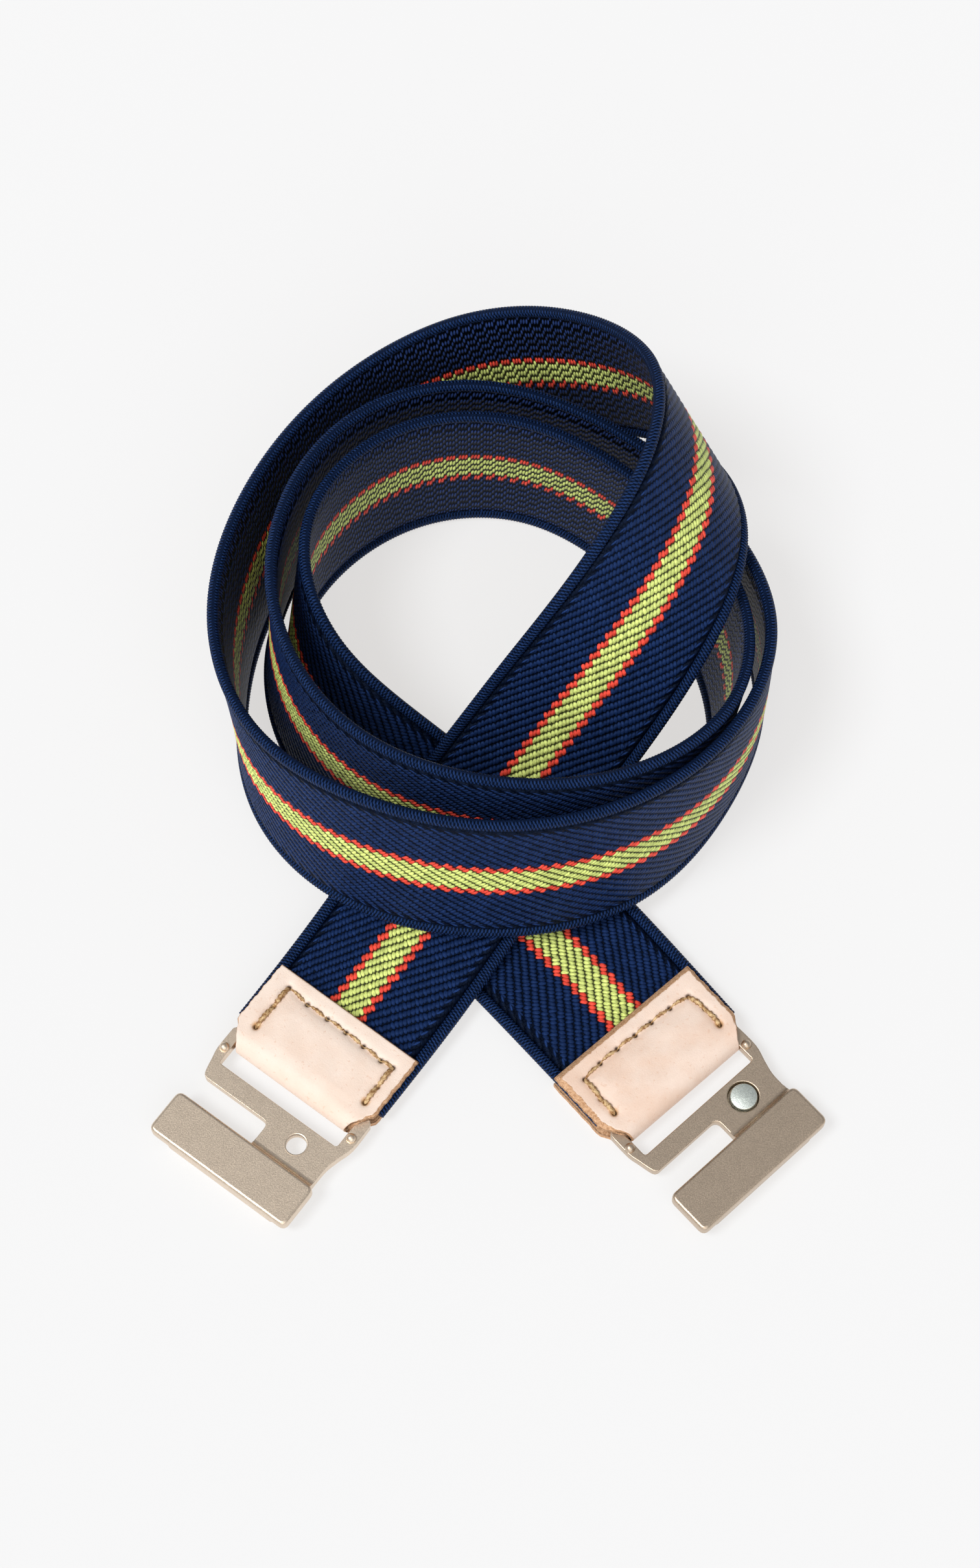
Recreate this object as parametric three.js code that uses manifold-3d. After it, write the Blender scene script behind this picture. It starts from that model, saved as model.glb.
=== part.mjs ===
// Elastic belt lying in its coil, with a leather tab and a cast hook plate at each end.
// Millimetres, +Z up. The finished group is set with the centre of its base at the origin.

import * as THREE from 'three'
import Module from 'manifold-3d'
import { mergeVertices } from 'three/addons/utils/BufferGeometryUtils.js'

const wasm = await Module()
wasm.setup()

// Webbing
const BAND_THICKNESS = 2
const BAND_STEPS_PER_ROW = 5
const FACE_POINTS = 4
const EDGE_POINTS = 3
const ROW_SPACING = 23.5
const GRIP = 10.6

// Leather tabs
const LEATHER = 1.5
const SLOT = BAND_THICKNESS + 0.6
const TAB_THICKNESS = SLOT + 2 * LEATHER
const TAB_MIDDLE = TAB_THICKNESS / 2
const TAB_CLIP = { inward: 2.9, along: 4.4 }
const FOLD_SEGMENTS = 10

// Hook plates: across runs from the notch side, along runs towards the tip
const PLATE = { bottom: TAB_MIDDLE - 1, top: TAB_MIDDLE + 1 }
const BAR = { radius: 1, along: -9.3, from: -0.6, to: 25.6 }
const WINDOW = { from: 0.3, to: 24.7, near: -3.3, corner: 0.6 }
const NOTCH = { depth: 13.2, corner: 1.3 }
const COVER = { from: -1.75, to: 26.3, near: 4.5, far: 12.6, bottom: 2.2, top: 5, bevel: 0.45, corner: 0.7 }
const NECK = { from: NOTCH.depth, to: 25.4 }
const FILLET = { along: 1.3, rise: 0.8 }
const FOOT = { from: 1.3, to: 23.4, near: 9.6, far: 12.3, overlap: 0.5 }
const KNOB = { radius: 0.85, along: -5.9, left: -0.7, right: 25.7, height: PLATE.top + 0.05 }
const HOLE = { across: 19.1, along: 0.2, radius: 1.65, rim: 2 }
const SOCKET = { radius: 2.55, rim: 2.7, floor: PLATE.bottom + 0.5 }
const RIM_DEPTH = 0.3
const MAGNET = { radius: 2.25, bottom: SOCKET.floor + 0.3, top: PLATE.top + 0.15 }
const ROUND_SEGMENTS = 32

// Outer edges of the arms, from the bar to the notch or to the cover
const LEFT_ARM = [
  { across: -1.6, along: -9.4 },
  { across: -1.6, along: -5.4 },
  { across: -1.2, along: -3.3 },
  { across: -0.55, along: -0.6 },
  { across: 0.2, along: 0 }
]
const RIGHT_ARM = [
  { across: 25.4, along: 5 },
  { across: 25.4, along: 3 },
  { across: 25.5, along: 0.5 },
  { across: 26.1, along: -1.9 },
  { across: 26.9, along: -4.8 },
  { across: 26.9, along: -9.4 }
]
const ARM_END = { inset: 0.6, along: -10.2 }

// The two ends: middle of the tab's mouth, heading towards the tip in degrees, size of the
// tab, half width of the webbing in it and behind it, how the webbing shifts to the side and
// rises from the slot to its crossing, and where the hook plate's notch corner lies
const ENDS = {
  left: {
    x: -23.2,
    y: -43.5,
    heading: -126.9,
    width: 28.7,
    length: 16.3,
    half: { inner: 15.1, outer: 15.4 },
    side: { inner: 0, outer: 0.1 },
    rise: { inner: -0.3, outer: 0.8 },
    hookSide: 12.4,
    hookTurn: 0.4
  },
  right: {
    x: 21.7,
    y: -45,
    heading: -48.7,
    width: 29.9,
    length: 16.1,
    half: { inner: 15.2, outer: 15.8 },
    side: { inner: -0.4, outer: -0.9 },
    rise: { inner: 0.1, outer: -0.4 },
    hookSide: 12.8,
    hookTurn: 0.9
  }
}

// Guide sections of the webbing between its two ends. The lean is that of the upper edge:
// -90 lies flat with the twill face up, 0 stands on edge, positive leans out of the coil.
// The bow is how far both edges stand off the middle, towards the twill face.
const GUIDES = [
  { x: -3.5, y: -15, z: 5.5, lean: -82, bow: 2.2, half: 15 },
  { x: 9.5, y: 0, z: 19, lean: -58, bow: 1.5, half: 14.4 },
  { x: 22.5, y: 9.5, z: 37, lean: -52, bow: 0.3, half: 14.3 },
  { x: 36, y: 30, z: 46, lean: -45, bow: -0.4, half: 14.4 },
  { x: 34.5, y: 54, z: 39, lean: -15, bow: -0.1, half: 14.7 },
  { x: 16.5, y: 67.5, z: 27.5, lean: 10, bow: 0, half: 14.8 },
  { x: -5.5, y: 71.5, z: 19, lean: 17, bow: -0.7, half: 14.8 },
  { x: -27, y: 60, z: 15, lean: 15, bow: -0.6, half: 14.8 },
  { x: -40.5, y: 40, z: 14.5, lean: 12, bow: -0.1, half: 14.8 },
  { x: -45.5, y: 16.5, z: 15.5, lean: 8, bow: 1, half: 14.9 },
  { x: -41, y: -7.5, z: 18.5, lean: -4, bow: 0.1, half: 15.1 },
  { x: -23, y: -23, z: 22, lean: -17, bow: 0.3, half: 15.2 },
  { x: 1, y: -28, z: 22, lean: -15, bow: 0.7, half: 15.1 },
  { x: 24.5, y: -22.5, z: 20, lean: -14, bow: 0.3, half: 15.2 },
  { x: 42, y: -6, z: 17, lean: 0, bow: -0.8, half: 15.1 },
  { x: 50, y: 17.5, z: 15.5, lean: 0, bow: 0.1, half: 14.9 },
  { x: 39, y: 40, z: 15, lean: -3, bow: -0.1, half: 14.8 },
  { x: 21.5, y: 55.5, z: 15, lean: 0, bow: -0.2, half: 14.8 },
  { x: -2, y: 64, z: 15, lean: 5, bow: 0, half: 14.9 },
  { x: -25, y: 56, z: 16, lean: 6, bow: 0.1, half: 15 },
  { x: -37.5, y: 34, z: 18.5, lean: -1, bow: 0.4, half: 15 },
  { x: -37, y: 10.5, z: 21.5, lean: -7, bow: 1, half: 15.1 },
  { x: -24.5, y: -11, z: 24, lean: -10, bow: 0.4, half: 15 },
  { x: -1.5, y: -20, z: 24.5, lean: -13, bow: 1.2, half: 14.9 },
  { x: 22.5, y: -18.5, z: 22.5, lean: -11, bow: 0.3, half: 15 },
  { x: 41.5, y: -2, z: 18, lean: 5, bow: -0.3, half: 15 },
  { x: 42.5, y: 23, z: 14.5, lean: 13, bow: -1, half: 14.9 },
  { x: 27.5, y: 42, z: 15, lean: 6, bow: -1.2, half: 14.9 },
  { x: 7.5, y: 56.5, z: 15, lean: 5, bow: -0.6, half: 14.9 },
  { x: -17, y: 55, z: 15, lean: 9, bow: -0.7, half: 14.9 },
  { x: -34.5, y: 36.5, z: 15.5, lean: 2, bow: -0.5, half: 14.9 },
  { x: -33.5, y: 11, z: 16.5, lean: -21, bow: -0.7, half: 14.4 },
  { x: -18, y: -6, z: 10.5, lean: -56, bow: 0.6, half: 14.3 },
  { x: -0.3, y: -18.8, z: 0.7, lean: -87, bow: 0.4, half: 15.6 }
]

function at(end, across, along) {
  return new THREE.Vector2(ENDS[end].hookSide - across, along)
}

function solidOf(geometry) {
  const bare = geometry.clone()
  bare.deleteAttribute('normal')
  bare.deleteAttribute('uv')
  const merged = mergeVertices(bare, 1e-4)
  return new wasm.Manifold(new wasm.Mesh({
    numProp: 3,
    vertProperties: new Float32Array(merged.attributes.position.array),
    triVerts: new Uint32Array(merged.index.array)
  }))
}

function geometryOf(solid) {
  const mesh = solid.getMesh()
  const geometry = new THREE.BufferGeometry()
  geometry.setAttribute('position', new THREE.BufferAttribute(mesh.vertProperties, 3))
  geometry.setIndex(new THREE.BufferAttribute(mesh.triVerts, 1))
  geometry.computeVertexNormals()
  return geometry
}

function plainExtrusion(shape, bottom, top, segments = 8) {
  const options = { depth: top - bottom, bevelEnabled: false, curveSegments: segments }
  return new THREE.ExtrudeGeometry(shape, options).translate(0, 0, bottom)
}

// Uniform cubic spline weights of four neighbouring guide rows, and their slopes
function splineWeights(t) {
  return [
    (1 - t) ** 3 / 6,
    (3 * t ** 3 - 6 * t ** 2 + 4) / 6,
    (-3 * t ** 3 + 3 * t ** 2 + 3 * t + 1) / 6,
    t ** 3 / 6
  ]
}

function splineSlopes(t) {
  return [
    -((1 - t) ** 2) / 2,
    (3 * t ** 2 - 4 * t) / 2,
    (-3 * t ** 2 + 2 * t + 1) / 2,
    t ** 2 / 2
  ]
}

// Three guide rows that keep the webbing straight and flat inside a tab and at its mouth
function endRows(end) {
  const heading = THREE.MathUtils.degToRad(end.heading)
  const rows = [
    { reach: GRIP + ROW_SPACING, side: 0, rise: 0, half: end.half.inner },
    { reach: GRIP, side: end.side.inner, rise: end.rise.inner, half: end.half.inner },
    { reach: GRIP - ROW_SPACING, side: end.side.outer, rise: end.rise.outer, half: end.half.outer }
  ]
  return rows.map(({ reach, side, rise, half }) => ({
    x: end.x + reach * Math.cos(heading) + side * Math.sin(heading),
    y: end.y + reach * Math.sin(heading) - side * Math.cos(heading),
    z: TAB_MIDDLE + rise,
    lean: -90,
    bow: 0,
    half
  }))
}

function mixRows(rows, weights, column) {
  return rows.reduce((sum, row, i) => sum + row[column] * weights[i], 0)
}

// Place and directions of the webbing's middle line at one step along the rows
function bandStation(rows, span, t) {
  const near = rows.slice(span, span + 4)
  const weights = splineWeights(t)
  const slopes = splineSlopes(t)
  const centre = new THREE.Vector3(...['x', 'y', 'z'].map((c) => mixRows(near, weights, c)))
  const tangent = new THREE.Vector3(...['x', 'y', 'z'].map((c) => mixRows(near, slopes, c))).normalize()
  const lean = THREE.MathUtils.degToRad(mixRows(near, weights, 'lean'))
  const outward = new THREE.Vector3().crossVectors(tangent, new THREE.Vector3(0, 0, 1)).normalize()
  const upward = new THREE.Vector3().crossVectors(outward, tangent)
  const across = upward.clone().multiplyScalar(Math.cos(lean)).addScaledVector(outward, Math.sin(lean))
  const face = outward.clone().multiplyScalar(Math.cos(lean)).addScaledVector(upward, -Math.sin(lean))
  return { centre, across, face, bow: mixRows(near, weights, 'bow'), half: mixRows(near, weights, 'half') }
}

// Outline of the webbing's section: two faces and two round selvedges, as pairs of
// a place across and a height off the middle
function bandSection(half) {
  const r = BAND_THICKNESS / 2
  const flat = half - r
  const points = []
  for (let i = 0; i < FACE_POINTS; i++) points.push([-flat + 2 * flat * i / (FACE_POINTS - 1), r])
  for (let i = 1; i <= EDGE_POINTS; i++) {
    const angle = Math.PI / 2 - Math.PI * i / (EDGE_POINTS + 1)
    points.push([flat + r * Math.cos(angle), r * Math.sin(angle)])
  }
  return points.concat(points.map(([across, height]) => [-across, -height]))
}

function bandGeometry() {
  const rows = [...endRows(ENDS.left), ...GUIDES, ...endRows(ENDS.right).reverse()]
  const spans = rows.length - 3
  const count = spans * BAND_STEPS_PER_ROW
  const positions = []
  for (let i = 0; i <= count; i++) {
    const span = Math.min(Math.floor(i / BAND_STEPS_PER_ROW), spans - 1)
    const station = bandStation(rows, span, i / BAND_STEPS_PER_ROW - span)
    for (const [across, height] of bandSection(station.half)) {
      const rise = height + station.bow * (across / station.half) ** 2
      const point = station.centre.clone().addScaledVector(station.across, across)
      point.addScaledVector(station.face, rise)
      positions.push(point.x, point.y, point.z)
    }
  }
  const ring = bandSection(1).length
  const index = []
  for (let i = 0; i < count; i++) {
    for (let k = 0; k < ring; k++) {
      const a = i * ring + k
      const b = i * ring + (k + 1) % ring
      index.push(a, a + ring, b, b, a + ring, b + ring)
    }
  }
  const last = count * ring
  for (let k = 1; k < ring - 1; k++) {
    index.push(0, k, k + 1)
    index.push(last, last + k + 1, last + k)
  }
  const geometry = new THREE.BufferGeometry()
  geometry.setAttribute('position', new THREE.Float32BufferAttribute(positions, 3))
  geometry.setIndex(index)
  geometry.computeVertexNormals()
  return geometry
}

// A leather strip folded round the bar, seen from the side as a U lying on its side
function foldShape(length) {
  const turn = length - TAB_MIDDLE
  const shape = new THREE.Shape()
  shape.moveTo(0, 0)
  shape.lineTo(turn, 0)
  shape.absarc(turn, TAB_MIDDLE, TAB_MIDDLE, -Math.PI / 2, Math.PI / 2, false)
  shape.lineTo(0, TAB_THICKNESS)
  shape.lineTo(0, TAB_THICKNESS - LEATHER)
  shape.lineTo(turn, TAB_THICKNESS - LEATHER)
  shape.absarc(turn, TAB_MIDDLE, SLOT / 2, Math.PI / 2, -Math.PI / 2, true)
  shape.lineTo(0, LEATHER)
  return shape
}

// The tab from above, with its two clipped corners at the fold
function tabPlan(end) {
  const half = end.width / 2
  return new THREE.Shape([
    new THREE.Vector2(-half, 0),
    new THREE.Vector2(half, 0),
    new THREE.Vector2(half, end.length - TAB_CLIP.along),
    new THREE.Vector2(half - TAB_CLIP.inward, end.length),
    new THREE.Vector2(-half + TAB_CLIP.inward, end.length),
    new THREE.Vector2(-half, end.length - TAB_CLIP.along)
  ])
}

// Room for one arm of the hook plate where it leaves the fold
function armRoom(end, inner, side) {
  const depth = end.length
  const block = new THREE.BoxGeometry(depth, depth, SLOT)
  const x = inner + side * depth / 2
  return block.translate(x, end.length - 2 * TAB_MIDDLE + depth / 2, TAB_MIDDLE)
}

function tabGeometry(name) {
  const end = ENDS[name]
  const gap = 0.3
  const strip = new THREE.ExtrudeGeometry(foldShape(end.length), {
    depth: end.width, bevelEnabled: false, curveSegments: FOLD_SEGMENTS
  })
  strip.rotateX(Math.PI / 2).rotateZ(Math.PI / 2).translate(-end.width / 2, 0, 0)
  let tab = solidOf(strip)
  tab = tab.intersect(solidOf(plainExtrusion(tabPlan(end), -1, TAB_THICKNESS + 1)))
  tab = tab.subtract(solidOf(armRoom(end, end.hookSide - WINDOW.from - gap, 1)))
  tab = tab.subtract(solidOf(armRoom(end, end.hookSide - WINDOW.to + gap, -1)))
  return geometryOf(tab)
}

// Arms, cross member and neck in one flat outline with the open notch
function plateShape(name) {
  const point = (across, along) => at(name, across, along)
  const left = LEFT_ARM.map((p) => point(p.across, p.along))
  const right = RIGHT_ARM.map((p) => point(p.across, p.along))
  const leftCurve = new THREE.SplineCurve(left).getPoints(10)
  const rightCurve = new THREE.SplineCurve(right).getPoints(12)
  const inner = WINDOW.near - WINDOW.corner
  const notchEnd = new THREE.QuadraticBezierCurve(
    point(NOTCH.depth - NOTCH.corner, 0), point(NOTCH.depth, 0), point(NOTCH.depth, NOTCH.corner)
  ).getPoints(5)
  const rightCorner = new THREE.QuadraticBezierCurve(
    point(WINDOW.to, inner), point(WINDOW.to, WINDOW.near), point(WINDOW.to - WINDOW.corner, WINDOW.near)
  ).getPoints(4)
  const leftCorner = new THREE.QuadraticBezierCurve(
    point(WINDOW.from + WINDOW.corner, WINDOW.near),
    point(WINDOW.from, WINDOW.near),
    point(WINDOW.from, inner)
  ).getPoints(4)
  return new THREE.Shape([
    ...leftCurve,
    ...notchEnd,
    point(NOTCH.depth, COVER.near + 1),
    ...rightCurve,
    point(RIGHT_ARM[RIGHT_ARM.length - 1].across - ARM_END.inset, ARM_END.along),
    point(WINDOW.to, ARM_END.along),
    ...rightCorner,
    ...leftCorner,
    point(WINDOW.from, ARM_END.along),
    point(LEFT_ARM[0].across + ARM_END.inset, ARM_END.along)
  ])
}

function roundedBar(name, from, to, near, far, radius) {
  const a = at(name, to, near)
  const b = at(name, from, far)
  const shape = new THREE.Shape()
  shape.moveTo(a.x + radius, a.y)
  shape.lineTo(b.x - radius, a.y)
  shape.quadraticCurveTo(b.x, a.y, b.x, a.y + radius)
  shape.lineTo(b.x, b.y - radius)
  shape.quadraticCurveTo(b.x, b.y, b.x - radius, b.y)
  shape.lineTo(a.x + radius, b.y)
  shape.quadraticCurveTo(a.x, b.y, a.x, b.y - radius)
  shape.lineTo(a.x, a.y + radius)
  shape.quadraticCurveTo(a.x, a.y, a.x + radius, a.y)
  return shape
}

// The raised bar that covers the other hook: flat sides and rounded upper and lower edges
function coverGeometry(name) {
  const { from, to, near, far, bevel, corner } = COVER
  const shape = roundedBar(name, from + bevel, to - bevel, near + bevel, far - bevel, corner - bevel / 2)
  const options = {
    depth: COVER.top - COVER.bottom - 2 * bevel,
    bevelThickness: bevel,
    bevelSize: bevel,
    bevelSegments: 3,
    curveSegments: 3
  }
  return new THREE.ExtrudeGeometry(shape, options).translate(0, 0, COVER.bottom + bevel)
}

// The hollow cove where the neck rises into the cover
function filletGeometry(name) {
  const far = COVER.near + COVER.bevel
  const cove = new THREE.QuadraticBezierCurve(
    new THREE.Vector2(COVER.near - FILLET.along, PLATE.top - 0.1),
    new THREE.Vector2(COVER.near - 0.2, PLATE.top - 0.1),
    new THREE.Vector2(COVER.near + 0.1, PLATE.top + FILLET.rise)
  ).getPoints(5)
  const shape = new THREE.Shape([...cove, new THREE.Vector2(far, PLATE.top - 0.1)])
  const options = { depth: NECK.to - NECK.from, bevelEnabled: false }
  const block = new THREE.ExtrudeGeometry(shape, options)
  block.rotateX(Math.PI / 2).rotateZ(Math.PI / 2)
  return block.translate(at(name, NECK.to, 0).x, 0, 0)
}

function barGeometry(name) {
  const middle = at(name, (BAR.from + BAR.to) / 2, BAR.along)
  const bar = new THREE.CylinderGeometry(BAR.radius, BAR.radius, BAR.to - BAR.from, 16)
  return bar.rotateZ(Math.PI / 2).translate(middle.x, middle.y, TAB_MIDDLE)
}

function knobGeometry(name, across) {
  const place = at(name, across, KNOB.along)
  return new THREE.SphereGeometry(KNOB.radius, 12, 8).translate(place.x, place.y, KNOB.height)
}

// A round cutter with a chamfered rim at the plate's upper face
function roundCutter(name, radius, rim, bottom) {
  const profile = [
    new THREE.Vector2(0, bottom),
    new THREE.Vector2(radius, bottom),
    new THREE.Vector2(radius, PLATE.top - RIM_DEPTH),
    new THREE.Vector2(rim, PLATE.top),
    new THREE.Vector2(rim, PLATE.top + 1),
    new THREE.Vector2(0, PLATE.top + 1)
  ]
  const place = at(name, HOLE.across, HOLE.along)
  const cutter = new THREE.LatheGeometry(profile, ROUND_SEGMENTS).rotateX(Math.PI / 2)
  return cutter.translate(place.x, place.y, 0)
}

function hookGeometry(name, cutter) {
  let hook = solidOf(plainExtrusion(plateShape(name), PLATE.bottom, PLATE.top))
  const footShape = roundedBar(name, FOOT.from, FOOT.to, FOOT.near, FOOT.far, 1)
  const joined = [
    coverGeometry(name),
    filletGeometry(name),
    barGeometry(name),
    knobGeometry(name, KNOB.left),
    knobGeometry(name, KNOB.right),
    plainExtrusion(footShape, 0, COVER.bottom + FOOT.overlap, 3)
  ]
  for (const piece of joined) hook = hook.add(solidOf(piece))
  return geometryOf(hook.subtract(solidOf(cutter)))
}

function magnetGeometry() {
  const place = at('right', HOLE.across, HOLE.along)
  const { radius, bottom, top } = MAGNET
  const disc = new THREE.CylinderGeometry(radius, radius, top - bottom, ROUND_SEGMENTS)
  disc.rotateX(Math.PI / 2)
  return disc.translate(place.x, place.y, (top + bottom) / 2)
}

function piece(name, geometry, color, roughness, metalness) {
  const mesh = new THREE.Mesh(geometry, new THREE.MeshStandardMaterial({ color, roughness, metalness }))
  mesh.name = name
  return mesh
}

const leather = (name, geometry) => piece(name, geometry, 0xf0d3ba, 0.65, 0)
const castMetal = (name, geometry) => piece(name, geometry, 0xa89b8a, 0.38, 1)

// One end of the belt: its tab lies along the heading, and its hook plate turns slightly in it
function endGroup(name) {
  const end = ENDS[name]
  const group = new THREE.Group()
  group.position.set(end.x, end.y, 0)
  group.rotation.z = THREE.MathUtils.degToRad(end.heading - 90)
  const plate = new THREE.Group()
  plate.position.y = end.length - TAB_MIDDLE
  plate.rotation.z = THREE.MathUtils.degToRad(end.hookTurn)
  const inner = new THREE.Group()
  inner.position.y = -BAR.along
  const cutter = name === 'left'
    ? roundCutter(name, HOLE.radius, HOLE.rim, PLATE.bottom - 1)
    : roundCutter(name, SOCKET.radius, SOCKET.rim, SOCKET.floor)
  inner.add(castMetal(`hook_plate_${name}`, hookGeometry(name, cutter)))
  if (name === 'right') inner.add(piece('magnet_disc', magnetGeometry(), 0xa9b0a6, 0.35, 1))
  plate.add(inner)
  group.add(leather(`leather_tab_${name}`, tabGeometry(name)), plate)
  return group
}

const belt = new THREE.Group()
belt.add(piece('elastic_webbing', bandGeometry(), 0x1f3566, 0.9, 0))
belt.add(endGroup('left'))
belt.add(endGroup('right'))

// Centre of the base at the origin
belt.updateMatrixWorld(true)
const box = new THREE.Box3().setFromObject(belt, true)
const middle = box.getCenter(new THREE.Vector3())
belt.position.set(-middle.x, -middle.y, -box.min.z)

export default belt
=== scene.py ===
import math
from collections import namedtuple

import bpy
import numpy as np
from mathutils import Matrix, Vector


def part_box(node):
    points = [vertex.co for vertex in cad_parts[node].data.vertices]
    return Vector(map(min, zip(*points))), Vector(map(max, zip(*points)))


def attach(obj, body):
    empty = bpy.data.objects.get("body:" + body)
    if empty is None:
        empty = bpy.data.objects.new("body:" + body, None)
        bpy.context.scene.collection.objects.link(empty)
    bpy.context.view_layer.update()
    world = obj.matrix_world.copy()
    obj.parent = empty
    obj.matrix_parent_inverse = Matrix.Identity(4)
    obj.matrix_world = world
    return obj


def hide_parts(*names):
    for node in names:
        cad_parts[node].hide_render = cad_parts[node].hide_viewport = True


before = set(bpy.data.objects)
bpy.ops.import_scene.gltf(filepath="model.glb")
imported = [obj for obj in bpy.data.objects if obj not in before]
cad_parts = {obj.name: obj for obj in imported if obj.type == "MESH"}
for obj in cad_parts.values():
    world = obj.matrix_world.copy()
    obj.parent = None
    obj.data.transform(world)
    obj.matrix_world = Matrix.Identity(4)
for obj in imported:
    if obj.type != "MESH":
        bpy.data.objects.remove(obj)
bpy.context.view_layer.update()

bl_info = {
    "name": "Elastic belt looks",
    "version": (1, 0, 0),
    "blender": (4, 5, 0),
    "location": "3D View > Sidebar > Belt",
    "description": "Webbing, leather tabs, stitches, hook plates, magnet and stage of an elastic belt",
    "category": "Object",
}

MM = 0.001

# Sections of the webbing, in millimetres and degrees: the same guide rows as the solid's
Guide = namedtuple("Guide", "x y z lean bow half")
GUIDES = (
    Guide(-3.5, -15, 5.5, -82, 2.2, 15),
    Guide(9.5, 0, 19, -58, 1.5, 14.4),
    Guide(22.5, 9.5, 37, -52, 0.3, 14.3),
    Guide(36, 30, 46, -45, -0.4, 14.4),
    Guide(34.5, 54, 39, -15, -0.1, 14.7),
    Guide(16.5, 67.5, 27.5, 10, 0, 14.8),
    Guide(-5.5, 71.5, 19, 17, -0.7, 14.8),
    Guide(-27, 60, 15, 15, -0.6, 14.8),
    Guide(-40.5, 40, 14.5, 12, -0.1, 14.8),
    Guide(-45.5, 16.5, 15.5, 8, 1, 14.9),
    Guide(-41, -7.5, 18.5, -4, 0.1, 15.1),
    Guide(-23, -23, 22, -17, 0.3, 15.2),
    Guide(1, -28, 22, -15, 0.7, 15.1),
    Guide(24.5, -22.5, 20, -14, 0.3, 15.2),
    Guide(42, -6, 17, 0, -0.8, 15.1),
    Guide(50, 17.5, 15.5, 0, 0.1, 14.9),
    Guide(39, 40, 15, -3, -0.1, 14.8),
    Guide(21.5, 55.5, 15, 0, -0.2, 14.8),
    Guide(-2, 64, 15, 5, 0, 14.9),
    Guide(-25, 56, 16, 6, 0.1, 15),
    Guide(-37.5, 34, 18.5, -1, 0.4, 15),
    Guide(-37, 10.5, 21.5, -7, 1, 15.1),
    Guide(-24.5, -11, 24, -10, 0.4, 15),
    Guide(-1.5, -20, 24.5, -13, 1.2, 14.9),
    Guide(22.5, -18.5, 22.5, -11, 0.3, 15),
    Guide(41.5, -2, 18, 5, -0.3, 15),
    Guide(42.5, 23, 14.5, 13, -1, 14.9),
    Guide(27.5, 42, 15, 6, -1.2, 14.9),
    Guide(7.5, 56.5, 15, 5, -0.6, 14.9),
    Guide(-17, 55, 15, 9, -0.7, 14.9),
    Guide(-34.5, 36.5, 15.5, 2, -0.5, 14.9),
    Guide(-33.5, 11, 16.5, -21, -0.7, 14.4),
    Guide(-18, -6, 10.5, -56, 0.6, 14.3),
    Guide(-0.3, -18.8, 0.7, -87, 0.4, 15.6),
)
# Distance between the last guide rows, length of webbing inside a tab, and half of its width, in mm
ROW_SPACING = 23.5
GRIP = 10.6
HALF_WIDTH = 15

# Ends of the belt: middle of the tab's mouth, heading of the tip, size of the tab, half width
# of the webbing in it and behind it, its shift to the side and its rise at these two places,
# place and turn of the hook plate, widths of the leather's raw edges
End = namedtuple(
    "End",
    "x y heading width length half_in half_out side_in side_out rise_in rise_out hook_side hook_turn "
    "raw_mouth raw_side")
ENDS = {
    "left": End(
        x=-23.2, y=-43.5, heading=-126.9, width=28.7, length=16.3, half_in=15.1, half_out=15.4,
        side_in=0, side_out=0.1, rise_in=-0.3, rise_out=0.8, hook_side=12.4, hook_turn=0.4,
        raw_mouth=0.4, raw_side=0.3),
    "right": End(
        x=21.7, y=-45, heading=-48.7, width=29.9, length=16.1, half_in=15.2, half_out=15.8,
        side_in=-0.4, side_out=-0.9, rise_in=0.1, rise_out=-0.4, hook_side=12.8, hook_turn=0.9,
        raw_mouth=1.0, raw_side=0.8),
}
# Tabs: height of their middle, thickness of the leather, and the clipped corners across and along;
# the hook's bar, in the hook plate's own frame
TAB_MIDDLE = 2.8
LEATHER = 1.5
TAB_CLIP = 2.9
TAB_CLIP_ALONG = 4.4
BAR_ALONG = -9.3


def lin(red, green, blue, alpha=1.0):
    """A colour given in screen values from 0 to 255, as scene-linear numbers."""
    parts = [c / 255 for c in (red, green, blue)]
    return [c / 12.92 if c < 0.04045 else ((c + 0.055) / 1.055) ** 2.4 for c in parts] + [alpha]


# Settings


class BeltBandSettings(bpy.types.PropertyGroup):
    """Sizes of the webbing and its weave."""

    edge_radius: bpy.props.FloatProperty(
        name="Selvedge radius", description="Radius of the round selvedge, in mm", default=1.0, min=0.2)
    rib_pitch: bpy.props.FloatProperty(
        name="Rib pitch", description="Distance between twill ribs across them, in mm",
        default=1.25, min=0.3)
    rib_angle: bpy.props.FloatProperty(
        name="Rib angle", description="Angle of the ribs to the length",
        default=math.radians(34.6), unit="ROTATION")
    relief: bpy.props.FloatProperty(
        name="Rib relief", description="Height of the ribs over their grooves, in mm", default=0.3, min=0.0)
    samples_per_rib: bpy.props.IntProperty(
        name="Samples per rib", description="Mesh columns in each twill rib", default=6, min=2)
    yarn_pitch: bpy.props.FloatProperty(
        name="Yarn pitch", description="Distance between warp yarns, in mm", default=0.38, min=0.1)
    wrap_pitch: bpy.props.FloatProperty(
        name="Wrap pitch", description="Distance between the wraps of the selvedge, in mm",
        default=0.575, min=0.1)


class BeltLeatherSettings(bpy.types.PropertyGroup):
    """Relief of the leather tabs."""

    bulge: bpy.props.FloatProperty(
        name="Bulge", description="Rise of the leather inside the stitches, in mm", default=0.4)
    dip: bpy.props.FloatProperty(
        name="Dip", description="Depth of the leather along the stitches, in mm", default=0.34)
    thread_radius: bpy.props.FloatProperty(
        name="Thread radius", description="Radius of the thread, in mm", default=0.38)


class BeltHookSettings(bpy.types.PropertyGroup):
    """Edges of the cast plates."""

    edge: bpy.props.FloatProperty(
        name="Edge", description="Width of the plates' rounded edges, in mm", default=0.22)
    cover_edge: bpy.props.FloatProperty(
        name="Cover edge", description="Width of the covers' rounded edges, in mm", default=0.6)


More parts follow.
